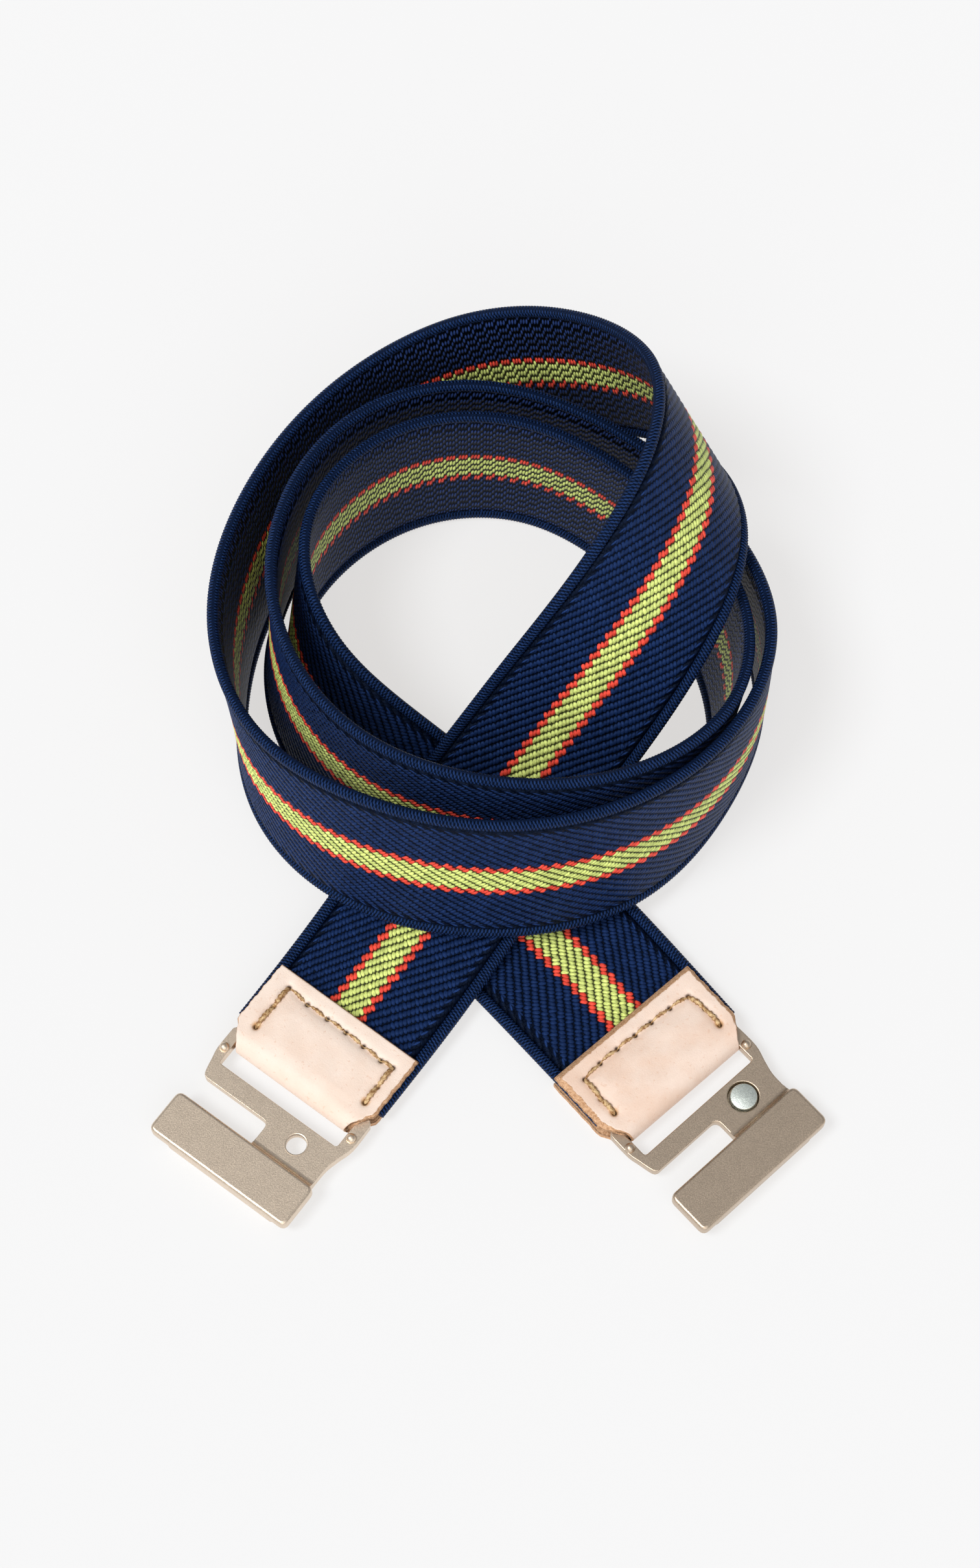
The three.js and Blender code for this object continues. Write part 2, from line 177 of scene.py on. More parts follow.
class BeltStageSettings(bpy.types.PropertyGroup):
    """Camera and light."""

    elevation: bpy.props.FloatProperty(
        name="Elevation", description="Camera's angle above the floor",
        default=math.radians(66), unit="ROTATION")
    distance: bpy.props.FloatProperty(
        name="Distance", description="Camera's distance", default=0.5184, unit="LENGTH")
    lens: bpy.props.FloatProperty(
        name="Lens", description="Focal length in mm for a 36 mm high picture", default=68.8)
    key: bpy.props.FloatProperty(
        name="Key light", description="Strength of the light from the left", default=1.75)
    front: bpy.props.FloatProperty(
        name="Front light", description="Strength of the wide light in front", default=1.2)
    fill: bpy.props.FloatProperty(
        name="Fill light", description="Strength of the surrounding light", default=0.36)


# Places


def base_shift():
    """How far the belt's own coordinates lie from the object's, in metres."""
    low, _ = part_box("leather_tab_left")
    place = own_tab_matrix("left")
    corners = [place @ Vector((x * MM, y * MM, 0)) for x, y in tab_outline(ENDS["left"])]
    return Vector((low.x - min(c.x for c in corners), low.y - min(c.y for c in corners), low.z))


def tab_outline(end):
    """The tab seen from above, with its two clipped corners."""
    half = end.width / 2
    clip = half - TAB_CLIP
    near = end.length - TAB_CLIP_ALONG
    return [(-half, 0), (half, 0), (half, near), (clip, end.length), (-clip, end.length), (-half, near)]


def own_tab_matrix(name):
    """A tab's place in the belt's own coordinates: +Y to the tip, its mouth's middle at the origin."""
    end = ENDS[name]
    place = Matrix.Translation((end.x * MM, end.y * MM, 0))
    return place @ Matrix.Rotation(math.radians(end.heading - 90), 4, "Z")


def tab_matrix(name):
    """A tab's place in the object's frame."""
    return Matrix.Translation(base_shift()) @ own_tab_matrix(name)


def hook_matrix(name):
    """A hook plate's place in the object's frame."""
    end = ENDS[name]
    bar = Matrix.Translation((0, (end.length - TAB_MIDDLE) * MM, 0))
    turn = Matrix.Rotation(math.radians(end.hook_turn), 4, "Z")
    return tab_matrix(name) @ bar @ turn @ Matrix.Translation((0, -BAR_ALONG * MM, 0))


# Webbing's path


class Band:
    """Places and directions along the webbing, by its length in millimetres."""

    def __init__(self):
        self.rows = np.array(self.end_rows("left") + list(GUIDES) + self.end_rows("right")[::-1], float)
        self.spans = len(self.rows) - 3
        self.shift = np.array(base_shift()) / MM
        steps_per_span = 160
        self.fine = np.linspace(0, self.spans, self.spans * steps_per_span + 1)
        centre = self.at(self.fine)[0]
        steps = np.linalg.norm(np.diff(centre, axis=0), axis=1)
        self.along = np.concatenate([[0], np.cumsum(steps)])
        self.length = float(self.along[-1])

    @staticmethod
    def end_rows(name):
        """Guide rows that lead the flat webbing into a tab."""
        end = ENDS[name]
        heading = math.radians(end.heading)
        rows = []
        for reach, side, rise, half in (
                (GRIP + ROW_SPACING, 0, 0, end.half_in),
                (GRIP, end.side_in, end.rise_in, end.half_in),
                (GRIP - ROW_SPACING, end.side_out, end.rise_out, end.half_out)):
            x = end.x + reach * math.cos(heading) + side * math.sin(heading)
            y = end.y + reach * math.sin(heading) - side * math.cos(heading)
            rows.append(Guide(x, y, TAB_MIDDLE + rise, -90, 0, half))
        return rows

    def at(self, row):
        """Centre, direction across, face normal, bow and half width on a cubic B-spline of the rows."""
        span = np.minimum(np.floor(row).astype(int), self.spans - 1)
        t = row - span
        weights = (
            (1 - t) ** 3 / 6, (3 * t**3 - 6 * t**2 + 4) / 6, (-3 * t**3 + 3 * t**2 + 3 * t + 1) / 6,
            t**3 / 6)
        slopes = (-((1 - t) ** 2) / 2, (3 * t**2 - 4 * t) / 2, (-3 * t**2 + 2 * t + 1) / 2, t**2 / 2)
        mixed = sum(w[:, None] * self.rows[span + k] for k, w in enumerate(weights))
        tangent = sum(s[:, None] * self.rows[span + k, :3] for k, s in enumerate(slopes))
        tangent /= np.linalg.norm(tangent, axis=1)[:, None]
        outward = np.cross(tangent, (0, 0, 1))
        outward /= np.linalg.norm(outward, axis=1)[:, None]
        upward = np.cross(outward, tangent)
        lean = np.radians(mixed[:, 3])[:, None]
        across = np.cos(lean) * upward + np.sin(lean) * outward
        face = np.cos(lean) * outward - np.sin(lean) * upward
        return mixed[:, :3], across, face, mixed[:, 4], mixed[:, 5]

    def points(self, along, across, height):
        """Points in metres, face normals and directions across; across is for webbing 30 mm wide."""
        row = np.interp(along, self.along, self.fine)
        centre, wide, face, bow, half = self.at(row)
        side = across / HALF_WIDTH
        rise = height + bow * side**2
        point = centre + wide * (side * half)[:, None] + face * rise[:, None]
        return (point + self.shift) * MM, face, wide


# Meshes


def mesh_object(name, points, faces, attributes=None, smooth=True, edges=()):
    """An object of points in metres, with values or vectors stored at its points."""
    mesh = bpy.data.meshes.new(name)
    mesh.from_pydata(np.asarray(points).tolist(), edges, faces)
    for key, values in (attributes or {}).items():
        values = np.asarray(values, np.float32)
        kind = "FLOAT_VECTOR" if values.ndim == 2 else "FLOAT"
        layer = mesh.attributes.new(key, kind, "POINT")
        layer.data.foreach_set("vector" if values.ndim == 2 else "value", values.ravel())
    if smooth:
        mesh.shade_smooth()
    obj = bpy.data.objects.new(name, mesh)
    bpy.context.scene.collection.objects.link(obj)
    return obj


def keep_mesh(obj):
    """Turns the evaluated shape into the object's plain mesh and removes its modifiers."""
    bpy.context.view_layer.update()
    graph = bpy.context.evaluated_depsgraph_get()
    shape = obj.evaluated_get(graph)
    mesh = bpy.data.meshes.new_from_object(shape, preserve_all_data_layers=True, depsgraph=graph)
    obj.modifiers.clear()
    old = obj.data
    obj.data = mesh
    if old.users == 0:
        bpy.data.meshes.remove(old)
    mesh.name = obj.name
    return obj


def run_nodes(obj, tree, values):
    """Puts a geometry node tree on an object with its inputs set, and keeps the result."""
    modifier = obj.modifiers.new(tree.name, "NODES")
    modifier.node_group = tree
    for item in tree.interface.items_tree:
        if item.item_type == "SOCKET" and item.in_out == "INPUT" and item.name in values:
            modifier[item.identifier] = values[item.name]
    obj.update_tag()
    return keep_mesh(obj)


def grid_faces(columns, rows, flip=False):
    """Four-sided faces over a grid of points that are listed column by column."""
    i, j = np.meshgrid(np.arange(columns - 1), np.arange(rows - 1), indexing="ij")
    a = (i * rows + j).ravel()
    quad = np.stack([a, a + rows, a + rows + 1, a + 1], axis=1)
    return quad[:, ::-1] if flip else quad


def used_only(points, faces, *others):
    """Drops the points that no face uses."""
    used, index = np.unique(faces, return_inverse=True)
    return (points[used], index.reshape(faces.shape)) + tuple(o[used] for o in others)


def prism(name, low, high):
    """A solid between two like outlines in mm, counter-clockwise seen from the high one."""
    n = len(low)
    points = [(x * MM, y * MM, z * MM) for x, y, z in low + high]
    faces = [list(range(n))[::-1], list(range(n, 2 * n))]
    faces += [[i, (i + 1) % n, (i + 1) % n + n, i + n] for i in range(n)]
    return mesh_object(name, points, faces)


# Node helpers


def node(tree, kind, **settings):
    """A new node with its properties set."""
    made = tree.nodes.new(kind)
    for key, value in settings.items():
        setattr(made, key, value)
    return made


def feed(tree, socket, value):
    """Links an output to a socket, or sets the socket to a value."""
    if isinstance(value, bpy.types.NodeSocket):
        tree.links.new(value, socket)
    else:
        socket.default_value = value


def calc(tree, operation, *values):
    made = node(tree, "ShaderNodeMath", operation=operation)
    for socket, value in zip(made.inputs, values):
        feed(tree, socket, value)
    return made.outputs[0]


def smooth_range(tree, value, low, high, to_low=0.0, to_high=1.0):
    made = node(tree, "ShaderNodeMapRange", interpolation_type="SMOOTHSTEP")
    for socket, number in zip(made.inputs, (value, low, high, to_low, to_high)):
        feed(tree, socket, number)
    return made.outputs[0]


def tint(tree, factor, first, second, blend="MIX"):
    """Mixes two colours; a mix node's factor and colours are its sockets 0, 6 and 7."""
    made = node(tree, "ShaderNodeMix", data_type="RGBA", blend_type=blend)
    feed(tree, made.inputs[0], factor)
    feed(tree, made.inputs[6], first)
    feed(tree, made.inputs[7], second)
    return made.outputs[2]


def noise(tree, vector, scale, detail=2.0, roughness=0.5, output="Fac"):
    made = node(tree, "ShaderNodeTexNoise")
    feed(tree, made.inputs["Vector"], vector)
    made.inputs["Scale"].default_value = scale
    made.inputs["Detail"].default_value = detail
    made.inputs["Roughness"].default_value = roughness
    return made.outputs[output]


def vector_calc(tree, operation, first, second=None, scale=None):
    made = node(tree, "ShaderNodeVectorMath", operation=operation)
    feed(tree, made.inputs[0], first)
    if second is not None:
        feed(tree, made.inputs[1], second)
    if scale is not None:
        feed(tree, made.inputs["Scale"], scale)
    return made.outputs[0]


def new_group(name, kind, inputs, outputs):
    tree = bpy.data.node_groups.new(name, kind)
    for label, socket, value in inputs:
        item = tree.interface.new_socket(label, in_out="INPUT", socket_type=socket)
        if value is not None:
            item.default_value = value
    for label, socket in outputs:
        tree.interface.new_socket(label, in_out="OUTPUT", socket_type=socket)
    return tree, node(tree, "NodeGroupInput").outputs, node(tree, "NodeGroupOutput").inputs


def named_vector(tree, name):
    made = node(tree, "GeometryNodeInputNamedAttribute", data_type="FLOAT_VECTOR")
    made.inputs["Name"].default_value = name
    return made.outputs["Attribute"]


def split(tree, vector):
    made = node(tree, "ShaderNodeSeparateXYZ")
    feed(tree, made.inputs[0], vector)
    return made.outputs


def finish_tree(tree, given, shape, result):
    """Realizes the instances of a geometry tree and sets the material."""
    real = node(tree, "GeometryNodeRealizeInstances")
    feed(tree, real.inputs[0], shape)
    dressed = node(tree, "GeometryNodeSetMaterial")
    feed(tree, dressed.inputs["Geometry"], real.outputs[0])
    feed(tree, dressed.inputs["Material"], given["Material"])
    feed(tree, result[0], dressed.outputs[0])


def finish_relief(tree, given, amount, result):
    """Moves the points along their outward attribute by an amount in mm, and sets the material."""
    push = node(tree, "ShaderNodeVectorMath", operation="SCALE")
    feed(tree, push.inputs[0], named_vector(tree, "outward"))
    feed(tree, push.inputs["Scale"], calc(tree, "MULTIPLY", amount, MM))
    moved = node(tree, "GeometryNodeSetPosition")
    feed(tree, moved.inputs["Geometry"], given["Geometry"])
    feed(tree, moved.inputs["Offset"], push.outputs[0])
    finish_tree(tree, given, moved.outputs[0], result)


def twill_relief():
    """Geometry nodes: round ribs that run slanting over the place attribute."""
    roundness, fade_width = 3.8, 0.7
    tree, given, result = new_group("Twill relief", "GeometryNodeTree", (
        ("Geometry", "NodeSocketGeometry", None),
        ("Rib pitch", "NodeSocketFloat", 1.3),
        ("Rib angle", "NodeSocketFloat", 0.62),
        ("Relief", "NodeSocketFloat", 0.5),
        ("Edge", "NodeSocketFloat", 13.0),
        ("Material", "NodeSocketMaterial", None)), (("Geometry", "NodeSocketGeometry"),))
    along, across, _ = split(tree, named_vector(tree, "place"))
    slant = calc(tree, "MULTIPLY_ADD", along, calc(tree, "SINE", given["Rib angle"]),
                 calc(tree, "MULTIPLY", across, calc(tree, "COSINE", given["Rib angle"])))
    phase = calc(tree, "WRAP", calc(tree, "DIVIDE", slant, given["Rib pitch"]), 0.5, -0.5)
    squared = calc(tree, "MULTIPLY", phase, phase)
    round_rib = calc(tree, "SQRT", calc(tree, "MULTIPLY_ADD", squared, -roundness, 1.0))
    inside = calc(tree, "SUBTRACT", given["Edge"], calc(tree, "ABSOLUTE", across))
    fade = smooth_range(tree, inside, 0.0, fade_width)
    amount = calc(tree, "MULTIPLY", calc(tree, "MULTIPLY", round_rib, given["Relief"]), fade)
    finish_relief(tree, given, amount, result)
    return tree


def wrap_relief():
    """Geometry nodes: staggered bumps of the yarns that wrap the selvedge."""
    tree, given, result = new_group("Wrapped edge relief", "GeometryNodeTree", (
        ("Geometry", "NodeSocketGeometry", None),
        ("Wrap pitch", "NodeSocketFloat", 0.575),
        ("Row pitch", "NodeSocketFloat", 1.7),
        ("Relief", "NodeSocketFloat", 0.07),
        ("Material", "NodeSocketMaterial", None)), (("Geometry", "NodeSocketGeometry"),))
    along, around, _ = split(tree, named_vector(tree, "place"))
    turn = 2 * math.pi
    waves = []
    for place, pitch in ((along, "Wrap pitch"), (around, "Row pitch")):
        angle = calc(tree, "DIVIDE", calc(tree, "MULTIPLY", place, turn), given[pitch])
        waves.append(calc(tree, "COSINE", angle))
    amount = calc(tree, "MULTIPLY", calc(tree, "MULTIPLY", *waves), given["Relief"])
    finish_relief(tree, given, amount, result)
    return tree


def stitch_threads():
    """Geometry nodes: a twisted thread of three strands along each stitch."""
    strands, groove = 3, 0.72
    tree, given, result = new_group("Stitch threads", "GeometryNodeTree", (
        ("Geometry", "NodeSocketGeometry", None),
        ("Thread radius", "NodeSocketFloat", 0.44),
        ("Twist", "NodeSocketFloat", 1.5),
        ("Material", "NodeSocketMaterial", None)), (("Geometry", "NodeSocketGeometry"),))
    path = node(tree, "GeometryNodeMeshToCurve")
    feed(tree, path.inputs["Mesh"], given["Geometry"])
    stitch, thick, _ = split(tree, named_vector(tree, "stitch"))
    tilt = node(tree, "GeometryNodeSetCurveTilt")
    feed(tree, tilt.inputs["Curve"], path.outputs[0])
    feed(tree, tilt.inputs["Tilt"], calc(tree, "MULTIPLY", stitch, given["Twist"]))
    star = node(tree, "GeometryNodeCurveStar")
    star.inputs["Points"].default_value = strands
    radius = calc(tree, "MULTIPLY", given["Thread radius"], MM)
    feed(tree, star.inputs["Outer Radius"], radius)
    feed(tree, star.inputs["Inner Radius"], calc(tree, "MULTIPLY", radius, groove))
    tube = node(tree, "GeometryNodeCurveToMesh")
    feed(tree, tube.inputs["Curve"], tilt.outputs[0])
    feed(tree, tube.inputs["Profile Curve"], star.outputs[0])
    feed(tree, tube.inputs["Scale"], thick)
    tube.inputs["Fill Caps"].default_value = True
    shaded = node(tree, "GeometryNodeSetShadeSmooth")
    feed(tree, shaded.inputs[0], tube.outputs[0])
    finish_tree(tree, given, shaded.outputs[0], result)
    return tree


# Materials


def dome(tree, long, length, wide, width):
    """Height of a rounded patch, 1 in its middle and 0 past its length and width."""
    long = calc(tree, "DIVIDE", calc(tree, "MULTIPLY", long, 2.0), length)
    wide = calc(tree, "DIVIDE", calc(tree, "MULTIPLY", wide, 2.0), width)
    squares = calc(tree, "MULTIPLY_ADD", long, long, calc(tree, "MULTIPLY", wide, wide))
    return calc(tree, "SQRT", calc(tree, "MAXIMUM", calc(tree, "SUBTRACT", 1.0, squares), 0.0))


def one_float(tree, given, along, across, index):
    """Height of one yarn's nearest float at a place, with its yarn, chance and step numbers."""
    off = calc(tree, "SUBTRACT", across, calc(tree, "MULTIPLY", index, given["Yarn pitch"]))
    fourth = calc(tree, "COMPARE", calc(tree, "FLOORED_MODULO", index, 4.0), 3.0, 0.5)
    start = calc(tree, "MULTIPLY_ADD", fourth, given["Stagger"], along)
    start = calc(tree, "MULTIPLY_ADD", index, given["Shift"], start)
    step = calc(tree, "ROUND", calc(tree, "DIVIDE", start, given["Repeat"]))
    run = calc(tree, "SUBTRACT", start, calc(tree, "MULTIPLY", step, given["Repeat"]))
    pair = node(tree, "ShaderNodeCombineXYZ")
    feed(tree, pair.inputs[0], index)
    feed(tree, pair.inputs[1], step)
    dice = node(tree, "ShaderNodeTexWhiteNoise", noise_dimensions="2D")
    feed(tree, dice.inputs["Vector"], pair.outputs[0])
    chance = dice.outputs["Value"]
    swing = calc(tree, "MULTIPLY", calc(tree, "SUBTRACT", chance, 0.5), given["Waver"])
    turn = calc(tree, "MULTIPLY_ADD", swing, 2.0, given["Tilt"])
    cosine, sine = calc(tree, "COSINE", turn), calc(tree, "SINE", turn)
    long = calc(tree, "MULTIPLY_ADD", run, cosine, calc(tree, "MULTIPLY", off, sine))
    wide = calc(tree, "SUBTRACT", calc(tree, "MULTIPLY", off, cosine), calc(tree, "MULTIPLY", run, sine))
    return dome(tree, long, given["Length"], wide, given["Width"]), index, chance, step


def yarn_floats():
    """Shader group: rounded yarn floats in a slanting lattice over a place in mm."""
    name = "Yarn floats"
    if name in bpy.data.node_groups:
        return bpy.data.node_groups[name]
    tree, given, result = new_group(name, "ShaderNodeTree", (
        ("Place", "NodeSocketVector", None),
        ("Repeat", "NodeSocketFloat", 2.2),
        ("Yarn pitch", "NodeSocketFloat", 0.38),
        ("Shift", "NodeSocketFloat", 0.55),
        ("Stagger", "NodeSocketFloat", 0.0),
        ("Length", "NodeSocketFloat", 1.3),
        ("Width", "NodeSocketFloat", 0.8),
        ("Tilt", "NodeSocketFloat", 0.55),
        ("Waver", "NodeSocketFloat", 0.2)), (
        ("Height", "NodeSocketFloat"), ("Yarn", "NodeSocketFloat"), ("Chance", "NodeSocketFloat"),
        ("Step", "NodeSocketFloat")))
    drawn = noise(tree, given["Place"], 0.8, 1.0, 0.5, "Color")
    drawn = vector_calc(tree, "SUBTRACT", drawn, (0.5, 0.5, 0.5))
    drawn = vector_calc(tree, "SCALE", drawn, scale=given["Waver"])
    along, across, _ = split(tree, vector_calc(tree, "ADD", given["Place"], drawn))
    nearest = calc(tree, "ROUND", calc(tree, "DIVIDE", across, given["Yarn pitch"]))
    best = None
    for side in (0, -1, 1):
        values = one_float(tree, given, along, across, calc(tree, "ADD", nearest, side))
        if best is None:
            best = values
            continue
        wins = calc(tree, "GREATER_THAN", values[0], best[0])
        best = [calc(tree, "MULTIPLY_ADD", wins, calc(tree, "SUBTRACT", new, old), old)
                for new, old in zip(values, best)]
    for socket, value in zip(result, best):
        feed(tree, socket, value)
    return tree


def new_material(name):
    """A new material with its node tree and its shader."""
    made = bpy.data.materials.new(name)
    made.use_nodes = True
    tree = made.node_tree
    shader = tree.nodes["Principled BSDF"]
    return made, tree, shader


def attribute(tree, name, output="Vector"):
    """A vector or a number stored at the mesh's points."""
    made = node(tree, "ShaderNodeAttribute", attribute_name=name)
    return made.outputs[output]


def bumped(tree, shader, height, distance):
    """Lets a height show as relief, by at most a distance in metres."""
    made = node(tree, "ShaderNodeBump")
    made.inputs["Strength"].default_value = 1.0
    made.inputs["Distance"].default_value = distance
    feed(tree, made.inputs["Height"], height)
    feed(tree, shader.inputs["Normal"], made.outputs[0])


def floats_node(tree, place, **values):
    """The yarn floats over a place, with the group's numbers set by name."""
    made = node(tree, "ShaderNodeGroup", node_tree=yarn_floats())
    feed(tree, made.inputs["Place"], place)
    for key, value in values.items():
        made.inputs[key.replace("_", " ").capitalize()].default_value = value
    return made.outputs


def swapped(tree, place):
    """A place with its directions along and across exchanged."""
    along, across, _ = split(tree, place)
    made = node(tree, "ShaderNodeCombineXYZ")
    feed(tree, made.inputs[0], across)
    feed(tree, made.inputs[1], along)
    return made.outputs[0]


def yarn_finish(tree, shader, place, colour, height, chance, gap_shade, depth, tilt, shade=1.0):
    """Shades yarns from their colour: painted shade in the gaps between floats and a slight painted
    highlight on their tops, with fine filaments along the floats.
    """
    filament = node(tree, "ShaderNodeMapping", vector_type="TEXTURE")
    feed(tree, filament.inputs["Vector"], place)
    filament.inputs["Rotation"].default_value = (0.0, 0.0, tilt)
    filament.inputs["Scale"].default_value = (0.7, 0.1, 1.0)
    streak = noise(tree, filament.outputs[0], 1.0, 2.0, 0.6)
    # Painted shade in the gaps between the floats, rising to a slight painted highlight on their tops
    light = smooth_range(tree, height, 0.08, 0.88, gap_shade, 1.08)
    light = calc(tree, "MULTIPLY", light, smooth_range(tree, chance, 0.0, 1.0, 0.84, 1.16))
    light = calc(tree, "MULTIPLY", light, smooth_range(tree, streak, 0.3, 0.7, 0.68, 1.32))
    light = calc(tree, "MULTIPLY", light, shade)
    colour = tint(tree, 1.0, colour, light, "MULTIPLY")
    feed(tree, shader.inputs["Base Color"], colour)
    shader.inputs["Roughness"].default_value = 0.45
    shader.inputs["Specular IOR Level"].default_value = 0.2
    shader.inputs["Specular Tint"].default_value = lin(150, 180, 235)
    bumped(tree, shader, calc(tree, "MULTIPLY_ADD", streak, 0.25, height), depth)


NAVY = lin(23, 43, 85)
NAVY_BACK = lin(4, 8, 22)
NAVY_GLINT = lin(40, 60, 112)
NAVY_EDGE = lin(27, 49, 92)
GREEN = lin(220, 234, 134)
RED = lin(244, 82, 64)
# Yarns from the middle of the webbing to the outer edges of its green and red stripes
GREEN_YARNS, RED_YARNS = 6.1, 9.1
# Row of knots beside the twill: its distance from the middle, and the size of one knot, in mm
KNOTS_ACROSS, KNOT_LENGTH, KNOT_WIDTH = 12.0, 1.05, 0.8


def twill_material(settings):
    """Slanting yarn floats with the green and red stripe, and a row of knots at each edge."""
    made, tree, shader = new_material("webbing_twill")
    place = attribute(tree, "place")
    angle, tilt = settings.rib_angle, 0.55
    repeat = settings.rib_pitch / math.sin(angle)
    floats = floats_node(
        tree, place, repeat=repeat, yarn_pitch=settings.yarn_pitch,
        shift=settings.yarn_pitch / math.tan(angle), length=1.36, width=0.82, tilt=tilt, waver=0.3)
    yarn = calc(tree, "ABSOLUTE", calc(tree, "ADD", floats["Yarn"], 0.5))
    colour = tint(tree, calc(tree, "LESS_THAN", yarn, RED_YARNS), NAVY, RED)
    colour = tint(tree, calc(tree, "LESS_THAN", yarn, GREEN_YARNS), colour, GREEN)
    along, across, _ = split(tree, place)
    side = calc(tree, "ABSOLUTE", across)
    run = calc(tree, "MULTIPLY_ADD", across, 1 / math.tan(angle), along)
    run = calc(tree, "WRAP", run, repeat / 2, -repeat / 2)
    knot = dome(tree, run, KNOT_LENGTH, calc(tree, "SUBTRACT", side, KNOTS_ACROSS), KNOT_WIDTH)
    twill = smooth_range(tree, side, KNOTS_ACROSS - 0.5, KNOTS_ACROSS - 0.1, 1.0, 0.3)
    height = calc(tree, "MAXIMUM", calc(tree, "MULTIPLY", floats["Height"], twill), knot)
    # Painted shade in the groove between the twill and the selvedge, and a painted highlight on the knots
    shade = smooth_range(tree, side, KNOTS_ACROSS + 0.4, KNOTS_ACROSS + 0.6, 1.0, 0.8)
    shade = calc(tree, "MULTIPLY_ADD", knot, 0.5, shade)
    yarn_finish(
        tree, shader, place, colour, height, floats["Chance"], gap_shade=0.07, depth=0.00034, tilt=tilt,
        shade=shade)
    return made


def back_material(settings):
    """Weft strokes in fours: three abreast and the fourth half a row lower."""
    made, tree, shader = new_material("webbing_reverse")
    place = attribute(tree, "place")
    repeat = settings.rib_pitch / math.sin(settings.rib_angle)
    row_pitch = 4 * settings.yarn_pitch
    floats = floats_node(
        tree, swapped(tree, place), repeat=row_pitch, yarn_pitch=repeat / 4, shift=0.0,
        stagger=row_pitch / 2, length=1.35, width=0.56, tilt=-0.25, waver=0.08)
    order = calc(tree, "FLOORED_MODULO", floats["Yarn"], 4.0)
    fourth = calc(tree, "COMPARE", order, 3.0, 0.5)
    row = calc(tree, "MULTIPLY_ADD", fourth, -0.5, floats["Step"])
    # Rows from the middle: the green ones, two red ones, and one that is red in its first two strokes
    green_row, green_half, red_rows, part_red_row, near = 0.25, 1.4, (2.0, -1.5), -2.0, 0.2
    green = calc(tree, "COMPARE", row, green_row, green_half)
    red = calc(tree, "MULTIPLY", calc(tree, "COMPARE", row, part_red_row, near),
               calc(tree, "LESS_THAN", order, 1.5))
    for centre in red_rows:
        red = calc(tree, "MAXIMUM", red, calc(tree, "COMPARE", row, centre, near))
    glint = smooth_range(tree, floats["Height"], 0.55, 0.95)
    colour = tint(tree, glint, NAVY_BACK, NAVY_GLINT)
    colour = tint(tree, red, colour, RED)
    colour = tint(tree, green, colour, GREEN)
    yarn_finish(
        tree, shader, place, colour, floats["Height"], floats["Chance"], gap_shade=0.05, depth=0.0003,
        tilt=math.radians(105))
    return made


def selvedge_material(settings):
    """Yarns wrapped round the edge, side by side."""
    made, tree, shader = new_material("webbing_selvedge")
    place = attribute(tree, "place")
    floats = floats_node(
        tree, swapped(tree, place), repeat=1.5, yarn_pitch=settings.wrap_pitch / 2, shift=0.75,
        length=1.15, width=0.42, tilt=0.1, waver=0.12)
    colour = node(tree, "ShaderNodeRGB")
    colour.outputs[0].default_value = NAVY_EDGE
    yarn_finish(
        tree, shader, place, colour.outputs[0], floats["Height"], floats["Chance"], gap_shade=0.04,
        depth=0.0003, tilt=math.radians(80))
    return made


SPECK = lin(226, 182, 152)
RAW_DEEP, RAW_PALE = lin(182, 134, 96), lin(228, 186, 148)
GLUE = lin(206, 148, 66)
HOLE_SHADE = lin(52, 30, 16)
THREAD_DEEP, THREAD_PALE = lin(150, 104, 58), lin(232, 200, 150)


def leather_material(name, grain, deep):
    """Smooth undyed leather with raw edges, painted shade in the stitch holes and a little glue at the last
    ones.
    """
    made, tree, shader = new_material(name)
    where = node(tree, "ShaderNodeTexCoord").outputs["Object"]
    rim = attribute(tree, "rim", "Fac")
    marks = split(tree, attribute(tree, "marks"))
    cloud = noise(tree, where, 110, 4.0, 0.6)
    pores = noise(tree, where, 3600, 3.0, 0.7)
    colour = tint(tree, smooth_range(tree, cloud, 0.35, 0.7), grain, deep)
    speck = smooth_range(tree, noise(tree, where, 1500, 2.0, 0.5), 0.62, 0.72, 0.0, 0.35)
    colour = tint(tree, speck, colour, SPECK)
    torn = noise(tree, where, 900, 3.0, 0.7)
    ragged = calc(tree, "MULTIPLY_ADD", torn, 0.7, calc(tree, "SUBTRACT", rim, 0.35))
    edge = smooth_range(tree, ragged, 0.98, 1.06, 1.0, 0.0)
    fibre = noise(tree, where, 2600, 3.0, 0.8)
    raw = tint(tree, smooth_range(tree, fibre, 0.35, 0.65), RAW_DEEP, RAW_PALE)
    colour = tint(tree, edge, colour, raw)
    colour = tint(tree, marks[1], colour, GLUE)
    # Painted shade in and around the stitch holes
    colour = tint(tree, marks[0], colour, HOLE_SHADE)
    feed(tree, shader.inputs["Base Color"], colour)
    feed(tree, shader.inputs["Roughness"], smooth_range(tree, edge, 0.0, 1.0, 0.5, 0.9))
    shader.inputs["Specular IOR Level"].default_value = 0.35
    height = calc(tree, "MULTIPLY_ADD", edge, calc(tree, "MULTIPLY", fibre, 2.2), pores)
    bumped(tree, shader, height, 0.00006)
    return made


def thread_material():
    """Waxed thread with light and dark fibres."""
    made, tree, shader = new_material("stitch_thread")
    where = node(tree, "ShaderNodeTexCoord").outputs["Object"]
    fibre = noise(tree, where, 1800, 3.0, 0.6)
    colour = tint(tree, smooth_range(tree, fibre, 0.35, 0.65), THREAD_DEEP, THREAD_PALE)
    feed(tree, shader.inputs["Base Color"], colour)
    shader.inputs["Roughness"].default_value = 0.55
    bumped(tree, shader, fibre, 0.00008)
    return made


